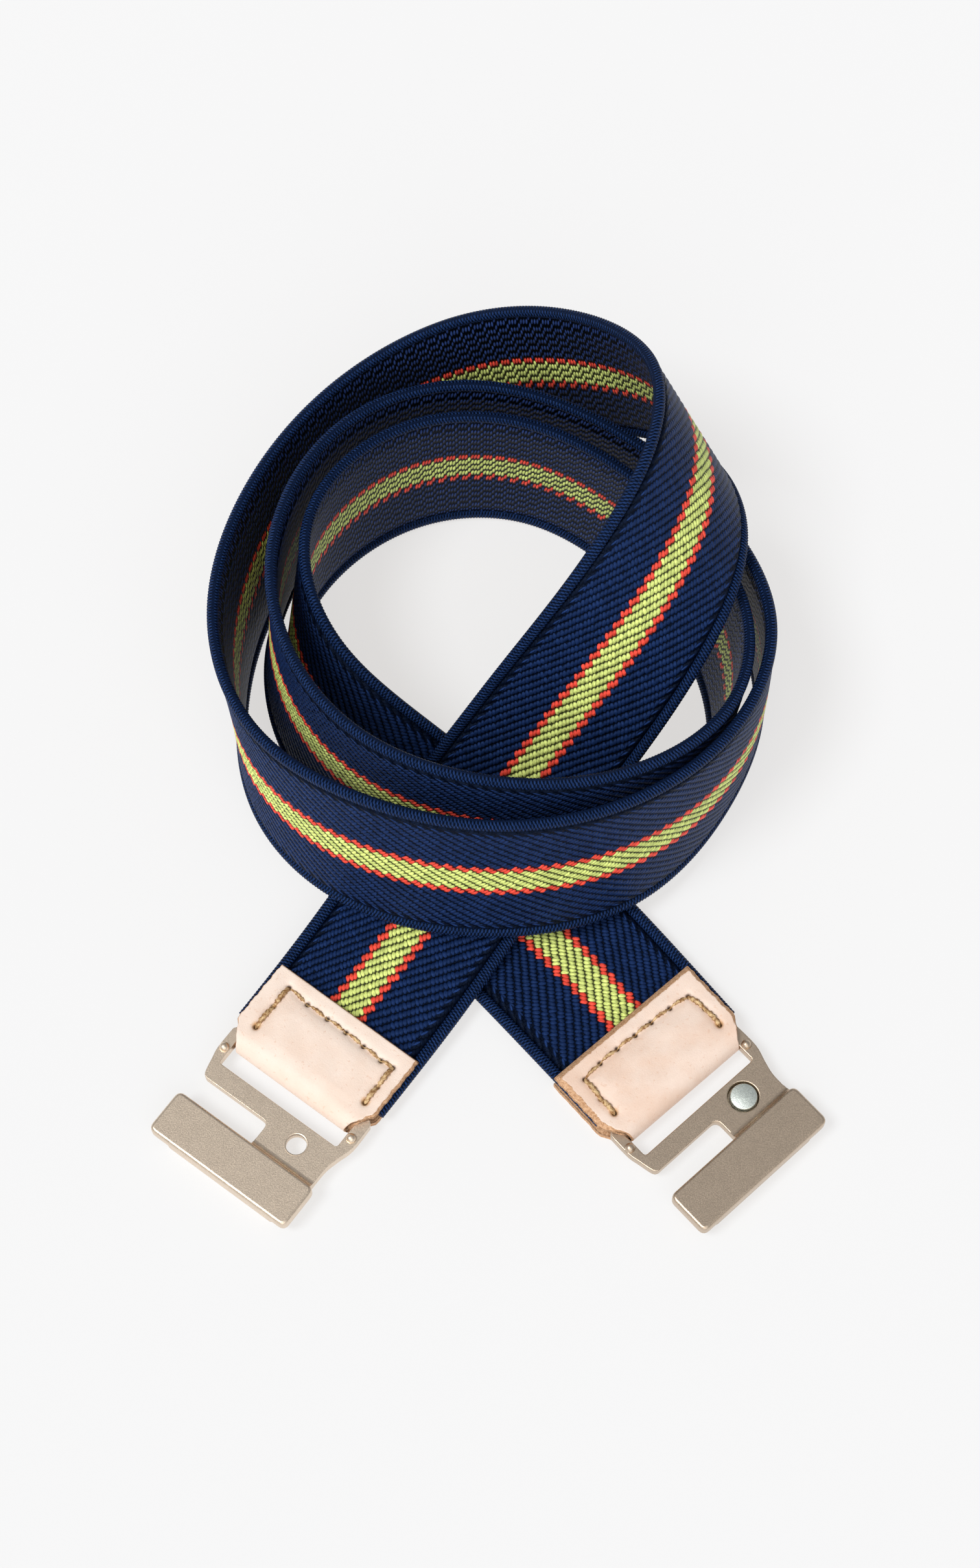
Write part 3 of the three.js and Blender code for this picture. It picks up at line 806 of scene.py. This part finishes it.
def metal_material(name, base, rough, grain):
    """Matt metal with faint clouds and specks a little darker than its base colour."""
    made, tree, shader = new_material(name)
    where = node(tree, "ShaderNodeTexCoord").outputs["Object"]
    fine = noise(tree, where, 4200, 2.0, 0.7)
    cloud = noise(tree, where, 700, 3.0, 0.6)
    dark, deep = ([c * share for c in base[:3]] + [1] for share in (0.92, 0.87))
    colour = tint(tree, smooth_range(tree, cloud, 0.3, 0.7), base, dark)
    colour = tint(tree, smooth_range(tree, noise(tree, where, 6500, 1.0, 0.5), 0.5, 0.72), colour, deep)
    feed(tree, shader.inputs["Base Color"], colour)
    shader.inputs["Metallic"].default_value = 1.0
    feed(tree, shader.inputs["Roughness"], smooth_range(tree, fine, 0.3, 0.7, rough - 0.05, rough + 0.08))
    bumped(tree, shader, fine, grain)
    return made


def floor_material():
    """Pale paper that glows a little, so that shadows on it stay faint."""
    made, tree, shader = new_material("floor_paper")
    where = node(tree, "ShaderNodeTexCoord").outputs["Object"]
    spots = noise(tree, where, 30, 2.0, 0.5)
    feed(tree, shader.inputs["Base Color"], tint(tree, spots, lin(137, 141, 145), lin(136, 140, 144)))
    shader.inputs["Emission Color"].default_value = (1.0, 0.975, 0.955, 1.0)
    shader.inputs["Emission Strength"].default_value = 0.67
    shader.inputs["Roughness"].default_value = 0.9
    shader.inputs["Specular IOR Level"].default_value = 0.0
    return made


# Pieces


def finished(obj, slot, *nodes):
    """Puts the piece under the root body and hides the solids it stands for; the slot is not used."""
    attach(obj, "root")
    if nodes:
        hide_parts(*nodes)
    return obj


# Heights of the woven layers over the middle of the webbing, and where they sink at the edges, in mm
FLAT_EDGE, FACE_EDGE = 12.6, 13.05
FACE_HEIGHT, FACE_DROP = 0.5, 0.45
BACK_FLAT_EDGE, BACK_HEIGHT, BACK_RISE = 12.0, -0.9, 0.5


def stripe_drift(band, along):
    """How far the stripe lies from the middle near the ends of the webbing, in mm."""
    reach, fade, drift_left, drift_right = 60, 40, 1.0, 0.85
    left = np.clip((reach - along) / fade, 0, 1)
    right = np.clip((along - band.length + reach) / fade, 0, 1)
    return drift_left * left + drift_right * right


def make_face(band, settings):
    """The twill face, as a mesh whose columns run along the ribs."""
    sine, cosine = math.sin(settings.rib_angle), math.cos(settings.rib_angle)
    middle = np.linspace(-11.6, 11.6, 21)
    near_edge = np.array([12.2, FLAT_EDGE, FACE_EDGE])
    rows = np.concatenate([-near_edge[::-1], middle, near_edge])
    step = settings.rib_pitch / settings.samples_per_rib
    start = -FACE_EDGE * cosine
    count = int((band.length * sine + 2 * FACE_EDGE * cosine) / step) + 2
    slant = (start + step * np.arange(count))[:, None]
    along = np.clip((slant - rows[None, :] * cosine) / sine, 0, band.length)
    across = np.broadcast_to(rows[None, :], along.shape)
    faces = grid_faces(count, len(rows))
    flat = along.ravel()
    # Slanting columns that lie past an end of the webbing have no width and are left out
    wide = np.abs(flat[faces[:, 0]] - flat[faces[:, 1]]) + np.abs(flat[faces[:, 3]] - flat[faces[:, 2]])
    no_width = 1e-6
    faces = faces[wide > no_width]
    sunk = np.clip((np.abs(across) - FLAT_EDGE) / (FACE_EDGE - FLAT_EDGE), 0, 1)
    height = FACE_HEIGHT - FACE_DROP * sunk
    points, normal, _ = band.points(flat, across.ravel(), height.ravel())
    drift = stripe_drift(band, flat) * (1 - (across.ravel() / FACE_EDGE) ** 2)
    place = np.stack([flat, across.ravel() - drift, np.zeros(flat.size)], axis=1)
    points, faces, place, normal = used_only(points, faces, place, normal)
    obj = mesh_object("webbing_face", points, faces.tolist(), {"place": place, "outward": normal})
    run_nodes(obj, twill_relief(), {
        "Rib pitch": settings.rib_pitch, "Rib angle": settings.rib_angle, "Relief": settings.relief,
        "Edge": FACE_EDGE, "Material": twill_material(settings)})
    return finished(obj, "webbing", "elastic_webbing")


def make_back(band, settings):
    """The reverse, a plain mesh."""
    column_pitch = 1.5
    along = np.linspace(0, band.length, int(band.length / column_pitch))
    rows = np.linspace(-FACE_EDGE, FACE_EDGE, 15)
    u, v = (a.ravel() for a in np.meshgrid(along, rows, indexing="ij"))
    height = BACK_HEIGHT + BACK_RISE * np.clip(np.abs(v) - BACK_FLAT_EDGE, 0, 1)
    points, _, _ = band.points(u, v, height)
    place = np.stack([u, v, np.zeros(u.size)], axis=1)
    faces = grid_faces(len(along), len(rows), flip=True).tolist()
    obj = mesh_object("webbing_reverse", points, faces, {"place": place})
    obj.data.materials.append(back_material(settings))
    return finished(obj, "webbing", "elastic_webbing")


def make_selvedges(band, settings):
    """The two round edges, with the relief of the yarns that wrap them."""
    tree, material = wrap_relief(), selvedge_material(settings)
    around = 12
    count = int(band.length / (settings.wrap_pitch / 4)) + 1
    along = np.arange(count) * settings.wrap_pitch / 4
    radius = settings.edge_radius
    made = []
    for name, side in (("upper", 1), ("lower", -1)):
        u, k = (a.ravel() for a in np.meshgrid(along, np.arange(around), indexing="ij"))
        angle = 2 * math.pi * k / around
        across = side * (HALF_WIDTH - radius + radius * np.cos(angle))
        height = radius * np.sin(angle)
        points, face, wide = band.points(u, across, height)
        outward = wide * (side * np.cos(angle))[:, None] + face * np.sin(angle)[:, None]
        place = np.stack([u, (k - 0.5) * 2 * math.pi * radius / around, np.zeros(u.size)], axis=1)
        base = np.arange(count - 1)[:, None] * around
        k0 = np.arange(around)[None, :]
        k1 = (k0 + 1) % around
        quads = np.stack([base + k0, base + k1, base + around + k1, base + around + k0], axis=2)
        quads = quads.reshape(-1, 4)
        if side < 0:
            quads = quads[:, ::-1]
        caps = [list(range(around)), list(range(count * around - 1, (count - 1) * around - 1, -1))]
        if side > 0:
            caps = [c[::-1] for c in caps]
        obj = mesh_object(
            f"webbing_selvedge_{name}", points, quads.tolist() + caps, {"place": place, "outward": outward})
        run_nodes(obj, tree, {"Wrap pitch": settings.wrap_pitch, "Material": material})
        made.append(finished(obj, "webbing", "elastic_webbing"))
    return made


# Leather tabs


def tab_half(end, y):
    """Half width of the tab at a distance from its mouth, with its clipped corners."""
    t = np.clip((y - (end.length - TAB_CLIP_ALONG)) / TAB_CLIP_ALONG, 0, 1)
    ragged = 0.06 * np.sin(2.1 * y + end.width) + 0.04 * np.sin(5.3 * y)
    return end.width / 2 - TAB_CLIP * t**0.85 + ragged


# Stitch holes, in the tab's own frame: distance from its middle line and from its mouth
Hole = namedtuple("Hole", "across along")
HOLES = {
    "left": (
        Hole(10.7, 11.5),
        Hole(10.6, 6.9),
        Hole(10.6, 2.8),
        Hole(6.3, 3.3),
        Hole(2.1, 3.3),
        Hole(-1.8, 3.3),
        Hole(-5.6, 3.5),
        Hole(-9.4, 3.7),
        Hole(-11.7, 3.5),
        Hole(-11.7, 7.6),
        Hole(-11.7, 11),
    ),
    "right": (
        Hole(11.7, 11.2),
        Hole(11.7, 7.9),
        Hole(11.4, 3.7),
        Hole(7.7, 3.3),
        Hole(3.9, 3.3),
        Hole(0.1, 3.5),
        Hole(-3.4, 3.6),
        Hole(-7.4, 3.8),
        Hole(-11.1, 4.3),
        Hole(-11.7, 7.7),
        Hole(-11.6, 11.4),
    ),
}


def distance_to_path(x, y, path):
    """Distance of points from the nearest stretch of a path."""
    best = np.full(np.shape(x), 99.0)
    for (ax, ay), (bx, by) in zip(path[:-1], path[1:]):
        length = (bx - ax) ** 2 + (by - ay) ** 2
        t = np.clip(((x - ax) * (bx - ax) + (y - ay) * (by - ay)) / length, 0, 1)
        best = np.minimum(best, np.hypot(x - ax - t * (bx - ax), y - ay - t * (by - ay)))
    return best


def tab_rise(name, x, y, settings):
    """Height of the leather's upper face over a flat one, in mm."""
    slope, groove_width, hole_depth, hole_spread, waves = 3.5, 0.8, 0.75, 0.16, 0.05
    end, holes = ENDS[name], HOLES[name]
    line = distance_to_path(x, y, holes)
    side = holes[2].across
    inner = np.clip(1 - np.abs(x / side) ** 4, 0, 1) * np.clip((y - holes[2].along) / slope, 0, 1)
    inner = inner * np.clip((end.length - 1.0 - y) / slope, 0, 1)
    rise = settings.bulge * inner * inner * (3 - 2 * inner)
    rise = rise - settings.dip * np.exp(-((line / groove_width) ** 2))
    for hx, hy in holes:
        rise = rise - hole_depth * np.exp(-(((x - hx) ** 2 + (y - hy) ** 2) / hole_spread))
    return rise + waves * np.sin(0.9 * x + 0.4 * y) * np.sin(0.7 * y)


def tab_path(end):
    """Rows round the fold: places of the outer and the inner face, and the turned angle."""
    turn = end.length - TAB_MIDDLE
    inner = TAB_MIDDLE - LEATHER
    top = [(y, 2 * TAB_MIDDLE, y, 2 * TAB_MIDDLE - LEATHER, 90.0) for y in np.linspace(0, turn, 72)]
    bend = []
    for degrees in np.linspace(90, -90, 18)[1:-1]:
        c, s = math.cos(math.radians(degrees)), math.sin(math.radians(degrees))
        outside = (turn + TAB_MIDDLE * c, TAB_MIDDLE * (1 + s))
        bend.append(outside + (turn + inner * c, TAB_MIDDLE + inner * s, degrees))
    under = [(y, 0.0, y, LEATHER, -90.0) for y in np.linspace(turn, 0, 16)]
    return np.array(top + bend + under)


def near_holes(x, y, holes, start, width, most):
    """A mark that is strongest at some holes and fades out with the distance from them."""
    mark = np.zeros(x.size)
    for hole in holes:
        mark = np.maximum(mark, np.clip(start - np.hypot(x - hole.across, y - hole.along) / width, 0, most))
    return mark


def skin_faces(n, m):
    """Faces of a thick sheet: n by m points on its outer face, then as many on its inner one."""
    skin = n * m
    row, j = np.arange(n - 1) * m, np.arange(m - 1)
    outside = grid_faces(n, m)
    inside = outside[:, ::-1] + skin
    low = np.stack([row + m, row + m + skin, row + skin, row], axis=1)
    high = low[:, ::-1] + m - 1
    first = np.stack([j, j + 1, j + 1 + skin, j + skin], axis=1)
    last = first[:, ::-1] + (n - 1) * m
    return np.vstack([outside, inside, low, high, first, last])[:, [0, 3, 2, 1]]


def make_tab(name, settings):
    """The folded leather, as a thick sheet with worn raw edges and marks for its material."""
    end, holes = ENDS[name], HOLES[name]
    path = tab_path(end)
    share = np.linspace(-1, 1, 150)
    oy, f = (a.ravel() for a in np.meshgrid(path[:, 0], share, indexing="ij"))
    oz, iy, iz, turned = (np.repeat(path[:, k], len(share)) for k in range(1, 5))
    half = tab_half(end, oy)
    x = f * half
    angle = np.radians(turned)
    facing = np.clip((np.sin(angle) + 0.5) / 1.5, 0, 1)
    on_top = turned == 90
    far_inside, worn = 9, 1.15
    mouth = np.where(on_top, oy / end.raw_mouth, far_inside)
    narrow = 1 - 0.6 * np.clip((oy - end.length + TAB_CLIP_ALONG) / 1.5, 0, 1)
    rim = np.minimum(mouth, (half - np.abs(x)) / (end.raw_side * narrow))
    drop = worn * np.clip(1 - rim, 0, 1) * facing
    rise = tab_rise(name, x, oy, settings) * np.clip(np.sin(angle), 0, 1) * np.clip(rim, 0, 1)
    out = rise - drop
    outer = np.stack([x, oy + out * np.cos(angle), oz + out * np.sin(angle)], axis=1)
    inner = np.stack([f * tab_half(end, iy), iy, iz], axis=1)
    # Mask of the painted shade in and around the stitch holes
    dark = near_holes(x, oy, holes, start=2.4, width=0.23, most=1) * on_top
    glue = near_holes(x, oy + 0.2, (holes[0], holes[-1]), start=1.5, width=0.65, most=0.8) * on_top
    none = np.zeros(x.size)
    marks = np.stack([np.concatenate([mark, none]) for mark in (dark, glue, none)], axis=1)
    points = np.vstack([outer, inner]) * MM
    faces = skin_faces(len(path), len(share)).tolist()
    values = {"rim": np.concatenate([rim, none]), "marks": marks}
    obj = mesh_object(f"tab_leather_{name}", points, faces, values)
    obj.data.transform(tab_matrix(name))
    return obj


def stitch_shape(t, span, on_side):
    """Thickness, arch, shift to the mouth and share of the way at a share t of a stitch's length."""
    full = math.sin(math.pi * t)
    if on_side:
        return 1.0 + 0.35 * full**0.5, 1.15 * full**0.6, 0.0, t
    return 0.45 + 0.85 * t, 0.92 * full**0.7, 0.22 * full * (1 - t), t * (1 - 0.35 / span)


def make_stitches(name, settings, tree, material):
    """Stitches from hole to hole, as lines that the node tree turns into thread."""
    points, edges, stitch = [], [], []
    steps, sunk, turn_between, twist = 14, 0.7, 1.3, 2.4
    for number, ((ax, ay), (bx, by)) in enumerate(zip(HOLES[name][:-1], HOLES[name][1:])):
        on_side = abs(ax - bx) < abs(ay - by)
        span = math.hypot(bx - ax, by - ay)
        for i in range(steps + 1):
            t = i / steps
            thick, arch, aside, reach = stitch_shape(t, span, on_side)
            x, y = ax + (bx - ax) * reach, ay + (by - ay) * reach - aside
            level = 2 * TAB_MIDDLE - settings.dip - sunk + arch
            points.append((x * MM, y * MM, level * MM))
            stitch.append((span * t + number * turn_between, thick, 0))
            if i:
                edges.append((len(points) - 2, len(points) - 1))
    obj = mesh_object(f"stitches_{name}", points, [], {"stitch": stitch}, smooth=False, edges=edges)
    obj.data.transform(tab_matrix(name))
    run_nodes(obj, tree, {"Thread radius": settings.thread_radius, "Twist": twist, "Material": material})
    return finished(obj, "leather")


# Hook plates


# The hook plate in its own frame, in mm: across from its left arm, along from its notch to the cover
PLATE_LOW, PLATE_HIGH = 1.8, 3.8
NOTCH_DEPTH, NOTCH_CORNER = 13.2, 1.3
WINDOW_FROM, WINDOW_TO, WINDOW_NEAR, WINDOW_CORNER = 0.3, 24.7, -3.3, 0.6
HOLE_ACROSS, HOLE_ALONG = 19.1, 0.2
Block = namedtuple("Block", "x0 x1 y0 y1 corner low high")
COVER = Block(-1.75, 26.3, 4.5, 12.6, 1.3, 2.2, 5.0)
FOOT = Block(1.3, 23.4, 9.6, 12.3, 0.8, 0.0, 2.6)
LUG_LEFT, LUG_RIGHT, LUG_END = -1.0, 26.3, -10.2
KNOBS_ACROSS, KNOB_ALONG, KNOB_RADIUS = (-0.7, 25.7), -5.9, 0.85
SOCKETS = {"left": (1.75, PLATE_LOW - 1), "right": (2.6, PLATE_LOW + 0.5)}
MAGNET_RADIUS, MAGNET_LOW, MAGNET_HIGH = 2.25, 2.6, 3.95
BAR_SIDES, BAR_RADIUS = (25.6, -0.6), 1
LEFT_ARM = ((-1.6, -9.4), (-1.6, -5.4), (-1.2, -3.3), (-0.55, -0.6), (0.2, 0))
RIGHT_ARM = ((25.4, 5), (25.4, 3), (25.5, 0.5), (26.1, -1.9), (26.9, -4.8), (26.9, -9.4))


def smooth_line(points, count):
    """Points on a smooth curve through the given ones."""
    p = [np.array(q, float) for q in points]
    made = []
    for i in range(count + 1):
        place = (len(p) - 1) * i / count
        k = min(int(place), len(p) - 2)
        t = place - k
        a, b, c, d = p[max(k - 1, 0)], p[k], p[k + 1], p[min(k + 2, len(p) - 1)]
        v0, v1 = (c - a) / 2, (d - b) / 2
        point = (2 * b - 2 * c + v0 + v1) * t**3 + (-3 * b + 3 * c - 2 * v0 - v1) * t**2 + v0 * t + b
        made.append(tuple(point))
    return made


def corner_curve(a, b, c, count):
    """A rounded corner at b, from a to c."""
    made = []
    for i in range(count + 1):
        t = i / count
        made.append(tuple((1 - t) ** 2 * p + 2 * t * (1 - t) * q + t**2 * r for p, q, r in zip(a, b, c)))
    return made


def plate_outline():
    """The plate seen from above: arms, notch and the window beside the bar."""
    inner = WINDOW_NEAR - WINDOW_CORNER
    from_side, to_side = WINDOW_FROM + WINDOW_CORNER, WINDOW_TO - WINDOW_CORNER
    return (
        smooth_line(LEFT_ARM, 16)
        + corner_curve((NOTCH_DEPTH - NOTCH_CORNER, 0), (NOTCH_DEPTH, 0), (NOTCH_DEPTH, NOTCH_CORNER), 7)
        + [(NOTCH_DEPTH, COVER.y0 + 1)]
        + smooth_line(RIGHT_ARM, 20)
        + [(LUG_RIGHT, LUG_END), (WINDOW_TO, LUG_END)]
        + corner_curve((WINDOW_TO, inner), (WINDOW_TO, WINDOW_NEAR), (to_side, WINDOW_NEAR), 5)
        + corner_curve((from_side, WINDOW_NEAR), (WINDOW_FROM, WINDOW_NEAR), (WINDOW_FROM, inner), 5)
        + [(WINDOW_FROM, LUG_END), (LUG_LEFT, LUG_END)]
    )


def block_outline(block):
    """The outline of a block with rounded corners."""
    made = []
    for cx, cy, sx, sy in (
            (block.x0, block.y0, 1, 1), (block.x1, block.y0, -1, 1),
            (block.x1, block.y1, -1, -1), (block.x0, block.y1, 1, -1)):
        a, b = (cx, cy + sy * block.corner), (cx + sx * block.corner, cy)
        made += corner_curve(*((a, (cx, cy), b) if sx * sy > 0 else (b, (cx, cy), a)), 5)
    return made


def slab(name, outline, low, high, edge=0.0, segments=2, cutter=None):
    """A flat solid of an outline in the hook's own frame, with rounded edges and one hole."""
    area = sum(a[0] * b[1] - b[0] * a[1] for a, b in zip(outline, outline[1:] + outline[:1]))
    flat = outline[::-1] if area < 0 else outline
    obj = prism(name, [(x, y, low) for x, y in flat], [(x, y, high) for x, y in flat])
    if cutter:
        cut = obj.modifiers.new("hole", "BOOLEAN")
        cut.operation, cut.solver, cut.object = "DIFFERENCE", "EXACT", cutter
    if edge:
        bevel = obj.modifiers.new("edges", "BEVEL")
        bevel.width, bevel.segments, bevel.limit_method = edge * MM, segments, "ANGLE"
        bevel.angle_limit = math.radians(38)
    keep_mesh(obj)
    if cutter:
        bpy.data.objects.remove(cutter)
    return obj


def round_outline(x, y, radius, count=40):
    """Points on a circle."""
    return [(x + radius * math.cos(2 * math.pi * k / count), y + radius * math.sin(2 * math.pi * k / count))
            for k in range(count)]


def joined(name, parts, matrix, material):
    """One piece of several, with flat faces kept flat by weighted normals."""
    with bpy.context.temp_override(
            active_object=parts[0], object=parts[0],
            selected_objects=parts, selected_editable_objects=parts):
        bpy.ops.object.join()
    obj = parts[0]
    obj.name = obj.data.name = name
    obj.data.transform(matrix)
    obj.data.shade_smooth()
    obj.data.set_sharp_from_angle(angle=math.radians(50))
    weighted = obj.modifiers.new("normals", "WEIGHTED_NORMAL")
    weighted.keep_sharp = True
    weighted.weight = 100
    keep_mesh(obj)
    obj.data.materials.clear()
    obj.data.materials.append(material)
    return obj


def lathe(name, place, profile, count=24):
    """A round solid about a vertical line, closed at both poles."""
    points, faces = [], []
    x, y = place
    for r, z in profile[1:-1]:
        points += [(px * MM, py * MM, z * MM) for px, py in round_outline(x, y, r, count)]
    rings = len(profile) - 2
    for i in range(rings - 1):
        for k in range(count):
            a, b = i * count + k, i * count + (k + 1) % count
            faces.append([a, b, b + count, a + count])
    low, high = len(points), len(points) + 1
    points += [(x * MM, y * MM, profile[0][1] * MM), (x * MM, y * MM, profile[-1][1] * MM)]
    for k in range(count):
        faces.append([low, (k + 1) % count, k])
        top = (rings - 1) * count
        faces.append([high, top + k, top + (k + 1) % count])
    return mesh_object(name, points, faces)


def ring_solid(name, place, section, count=40):
    """A closed ring about a vertical line."""
    n = len(section)
    rings = [round_outline(*place, radius, count) for radius, _ in section]
    points = [(rings[i][k][0] * MM, rings[i][k][1] * MM, section[i][1] * MM)
              for k in range(count) for i in range(n)]
    faces = []
    for k in range(count):
        for i in range(n):
            a, b = k * n + i, k * n + (i + 1) % n
            c, d = (k + 1) % count * n + (i + 1) % n, (k + 1) % count * n + i
            faces.append([a, b, c, d])
    return mesh_object(name, points, faces)


def ball(name, place, radius, level):
    """A ball about a vertical line, at a height."""
    angles = [math.pi * i / 10 for i in range(11)]
    return lathe(name, place, [(radius * math.sin(a), level - radius * math.cos(a)) for a in angles])


def cove(end):
    """The hollow where the neck rises into the cover."""
    near, base = COVER.y0, PLATE_HIGH - 0.02
    section = corner_curve((near - 1.3, base), (near - 0.2, base), (near + 0.1, PLATE_HIGH + 0.8), 8)
    section.append((near + 0.5, base))
    neck = (NOTCH_DEPTH, RIGHT_ARM[0][0])
    sides = (end.hook_side - across for across in neck)
    return prism("cove", *([(x, y, z) for y, z in section] for x in sides))


def bar_tube(end):
    """The round bar inside the leather fold."""
    ring = round_outline(BAR_ALONG, TAB_MIDDLE, BAR_RADIUS, 20)
    sides = (end.hook_side - across for across in BAR_SIDES)
    return prism("bar", *([(x, y, z) for y, z in ring] for x in sides))


def make_hook(name, settings, material):
    """One cast plate: plate, cover, foot, hollow, bar, knobs and the rim of a through hole."""
    end = ENDS[name]

    def place(outline):
        return [(end.hook_side - x, y) for x, y in outline]

    centre = (end.hook_side - HOLE_ACROSS, HOLE_ALONG)
    radius, floor = SOCKETS[name]
    cutter = slab("cutter", round_outline(*centre, radius), floor, PLATE_HIGH + 1)
    cover_edges, foot_edges = (settings.cover_edge, 4), (0.15, 2)
    parts = [
        slab("plate", place(plate_outline()), PLATE_LOW, PLATE_HIGH, settings.edge, 2, cutter),
        slab("cover", place(block_outline(COVER)), COVER.low, COVER.high, *cover_edges),
        slab("foot", place(block_outline(FOOT)), FOOT.low, FOOT.high, *foot_edges),
        cove(end),
        bar_tube(end),
    ]
    if name == "left":
        rim = ((0, 3.0), (0, 3.8), (0.11, 3.86), (0.25, 3.84), (0.33, 3.7))
        parts.append(ring_solid("rim", centre, [(radius + wide, high) for wide, high in rim]))
    for across in KNOBS_ACROSS:
        parts.append(ball("knob", (end.hook_side - across, KNOB_ALONG), KNOB_RADIUS, PLATE_HIGH + 0.05))
    obj = joined(f"cast_hook_{name}", parts, hook_matrix(name), material)
    return finished(obj, "cast_metal", f"hook_plate_{name}")


def make_magnet(material):
    """The disc in the right plate's socket, a little off its middle, with a rounded upper edge."""
    end = ENDS["right"]
    low, high, radius = MAGNET_LOW, MAGNET_HIGH, MAGNET_RADIUS
    profile = [
        (0, low), (radius, low), (radius, high - 0.18), (radius - 0.05, high - 0.06),
        (radius - 0.18, high), (0, high)]
    obj = lathe("magnet_face", (end.hook_side - HOLE_ACROSS - 0.06, HOLE_ALONG + 0.05), profile, 48)
    obj.data.transform(hook_matrix("right"))
    obj.data.set_sharp_from_angle(angle=math.radians(50))
    obj.data.materials.append(material)
    return finished(obj, "magnet", "magnet_disc")


# Operators


class BELT_OT_webbing(bpy.types.Operator):
    """Make the webbing: twill face, reverse and wrapped selvedges"""

    bl_idname = "belt.webbing"
    bl_label = "Webbing"

    def execute(self, context):
        settings = context.scene.belt_band
        band = Band()
        face = make_face(band, settings)
        others = [make_back(band, settings)] + make_selvedges(band, settings)
        return {"FINISHED"}


class BELT_OT_tabs(bpy.types.Operator):
    """Make the leather tabs and their stitches"""

    bl_idname = "belt.tabs"
    bl_label = "Leather tabs"

    def execute(self, context):
        settings = context.scene.belt_leather
        tree, thread = stitch_threads(), thread_material()
        tones = {
            "left": (lin(249, 230, 216), lin(245, 221, 204)),
            "right": (lin(245, 223, 208), lin(239, 209, 189)),
        }
        for name, (grain, deep) in tones.items():
            tab = make_tab(name, settings)
            tab.data.materials.append(leather_material(f"leather_{name}", grain, deep))
            finished(tab, "leather", f"leather_tab_{name}")
            make_stitches(name, settings, tree, thread)
        return {"FINISHED"}


class BELT_OT_hooks(bpy.types.Operator):
    """Make the two cast hook plates and the magnet"""

    bl_idname = "belt.hooks"
    bl_label = "Hook plates"

    def execute(self, context):
        settings = context.scene.belt_hooks
        # Both plates are the same cast metal: the left one's lighter tone is painted light and the right
        # one's darker tone is painted shade
        for name, painted_light_tone in (("left", lin(236, 218, 197)), ("right", lin(211, 192, 171))):
            make_hook(name, settings, metal_material(f"cast_metal_{name}", painted_light_tone, 0.38, 0.00002))
        make_magnet(metal_material("magnet_metal", lin(232, 240, 234), 0.45, 0.00004))
        return {"FINISHED"}


class BELT_OT_stage(bpy.types.Operator):
    """Make the floor, the light and the camera"""

    bl_idname = "belt.stage"
    bl_label = "Stage"

    def execute(self, context):
        settings = context.scene.belt_stage
        scene = context.scene
        size = 3.0
        corners = [(-size, -size, 0), (size, -size, 0), (size, size, 0), (-size, size, 0)]
        floor = mesh_object("floor", corners, [[0, 1, 2, 3]], smooth=False)
        floor.data.materials.append(floor_material())
        world = bpy.data.worlds.new("studio")
        scene.world = world
        world.use_nodes = True
        back = world.node_tree.nodes["Background"]
        back.inputs["Color"].default_value = lin(252, 253, 255)
        back.inputs["Strength"].default_value = settings.fill
        lamps = (
            ("key", settings.key, 22, (-0.45, -0.2, 0.87)),
            ("front", settings.front, 70, (0.05, -0.78, 0.62)))
        for name, strength, angle, toward in lamps:
            sun = bpy.data.lights.new(name, "SUN")
            sun.energy = strength
            sun.angle = math.radians(angle)
            sun.color = (1.0, 0.99, 0.97)
            lamp = bpy.data.objects.new(name, sun)
            scene.collection.objects.link(lamp)
            lamp.rotation_euler = Vector(toward).to_track_quat("Z", "Y").to_euler()
        camera = bpy.data.cameras.new("camera")
        camera.sensor_width = 36
        camera.lens = settings.lens
        camera.clip_start, camera.clip_end = 0.01, 10
        view = bpy.data.objects.new("camera", camera)
        scene.collection.objects.link(view)
        target = base_shift()
        target.z = 0
        back_way = Vector((0, -math.cos(settings.elevation), math.sin(settings.elevation)))
        view.location = target + back_way * settings.distance
        view.rotation_euler = (math.radians(90) - settings.elevation, 0, 0)
        scene.camera = view
        scene.view_settings.view_transform = "Standard"
        return {"FINISHED"}


class BELT_PT_panel(bpy.types.Panel):
    """Settings and steps of the belt"""

    bl_label = "Elastic belt"
    bl_idname = "BELT_PT_panel"
    bl_space_type = "VIEW_3D"
    bl_region_type = "UI"
    bl_category = "Belt"

    def draw(self, context):
        for group, _ in SETTINGS:
            settings = getattr(context.scene, group)
            box = self.layout.box()
            for name in settings.__annotations__:
                box.prop(settings, name)
        for step in STEPS:
            self.layout.operator(step.bl_idname)


SETTINGS = (
    ("belt_band", BeltBandSettings),
    ("belt_leather", BeltLeatherSettings),
    ("belt_hooks", BeltHookSettings),
    ("belt_stage", BeltStageSettings),
)
STEPS = (BELT_OT_stage, BELT_OT_webbing, BELT_OT_tabs, BELT_OT_hooks)
CLASSES = tuple(kind for _, kind in SETTINGS) + STEPS + (BELT_PT_panel,)


def register():
    for kind in CLASSES:
        bpy.utils.register_class(kind)
    for name, kind in SETTINGS:
        setattr(bpy.types.Scene, name, bpy.props.PointerProperty(type=kind))


def unregister():
    for name, _ in SETTINGS:
        delattr(bpy.types.Scene, name)
    for kind in reversed(CLASSES):
        bpy.utils.unregister_class(kind)


def main():
    register()
    bpy.ops.belt.stage()
    bpy.ops.belt.webbing()
    bpy.ops.belt.tabs()
    bpy.ops.belt.hooks()


if __name__ == "__main__":
    main()
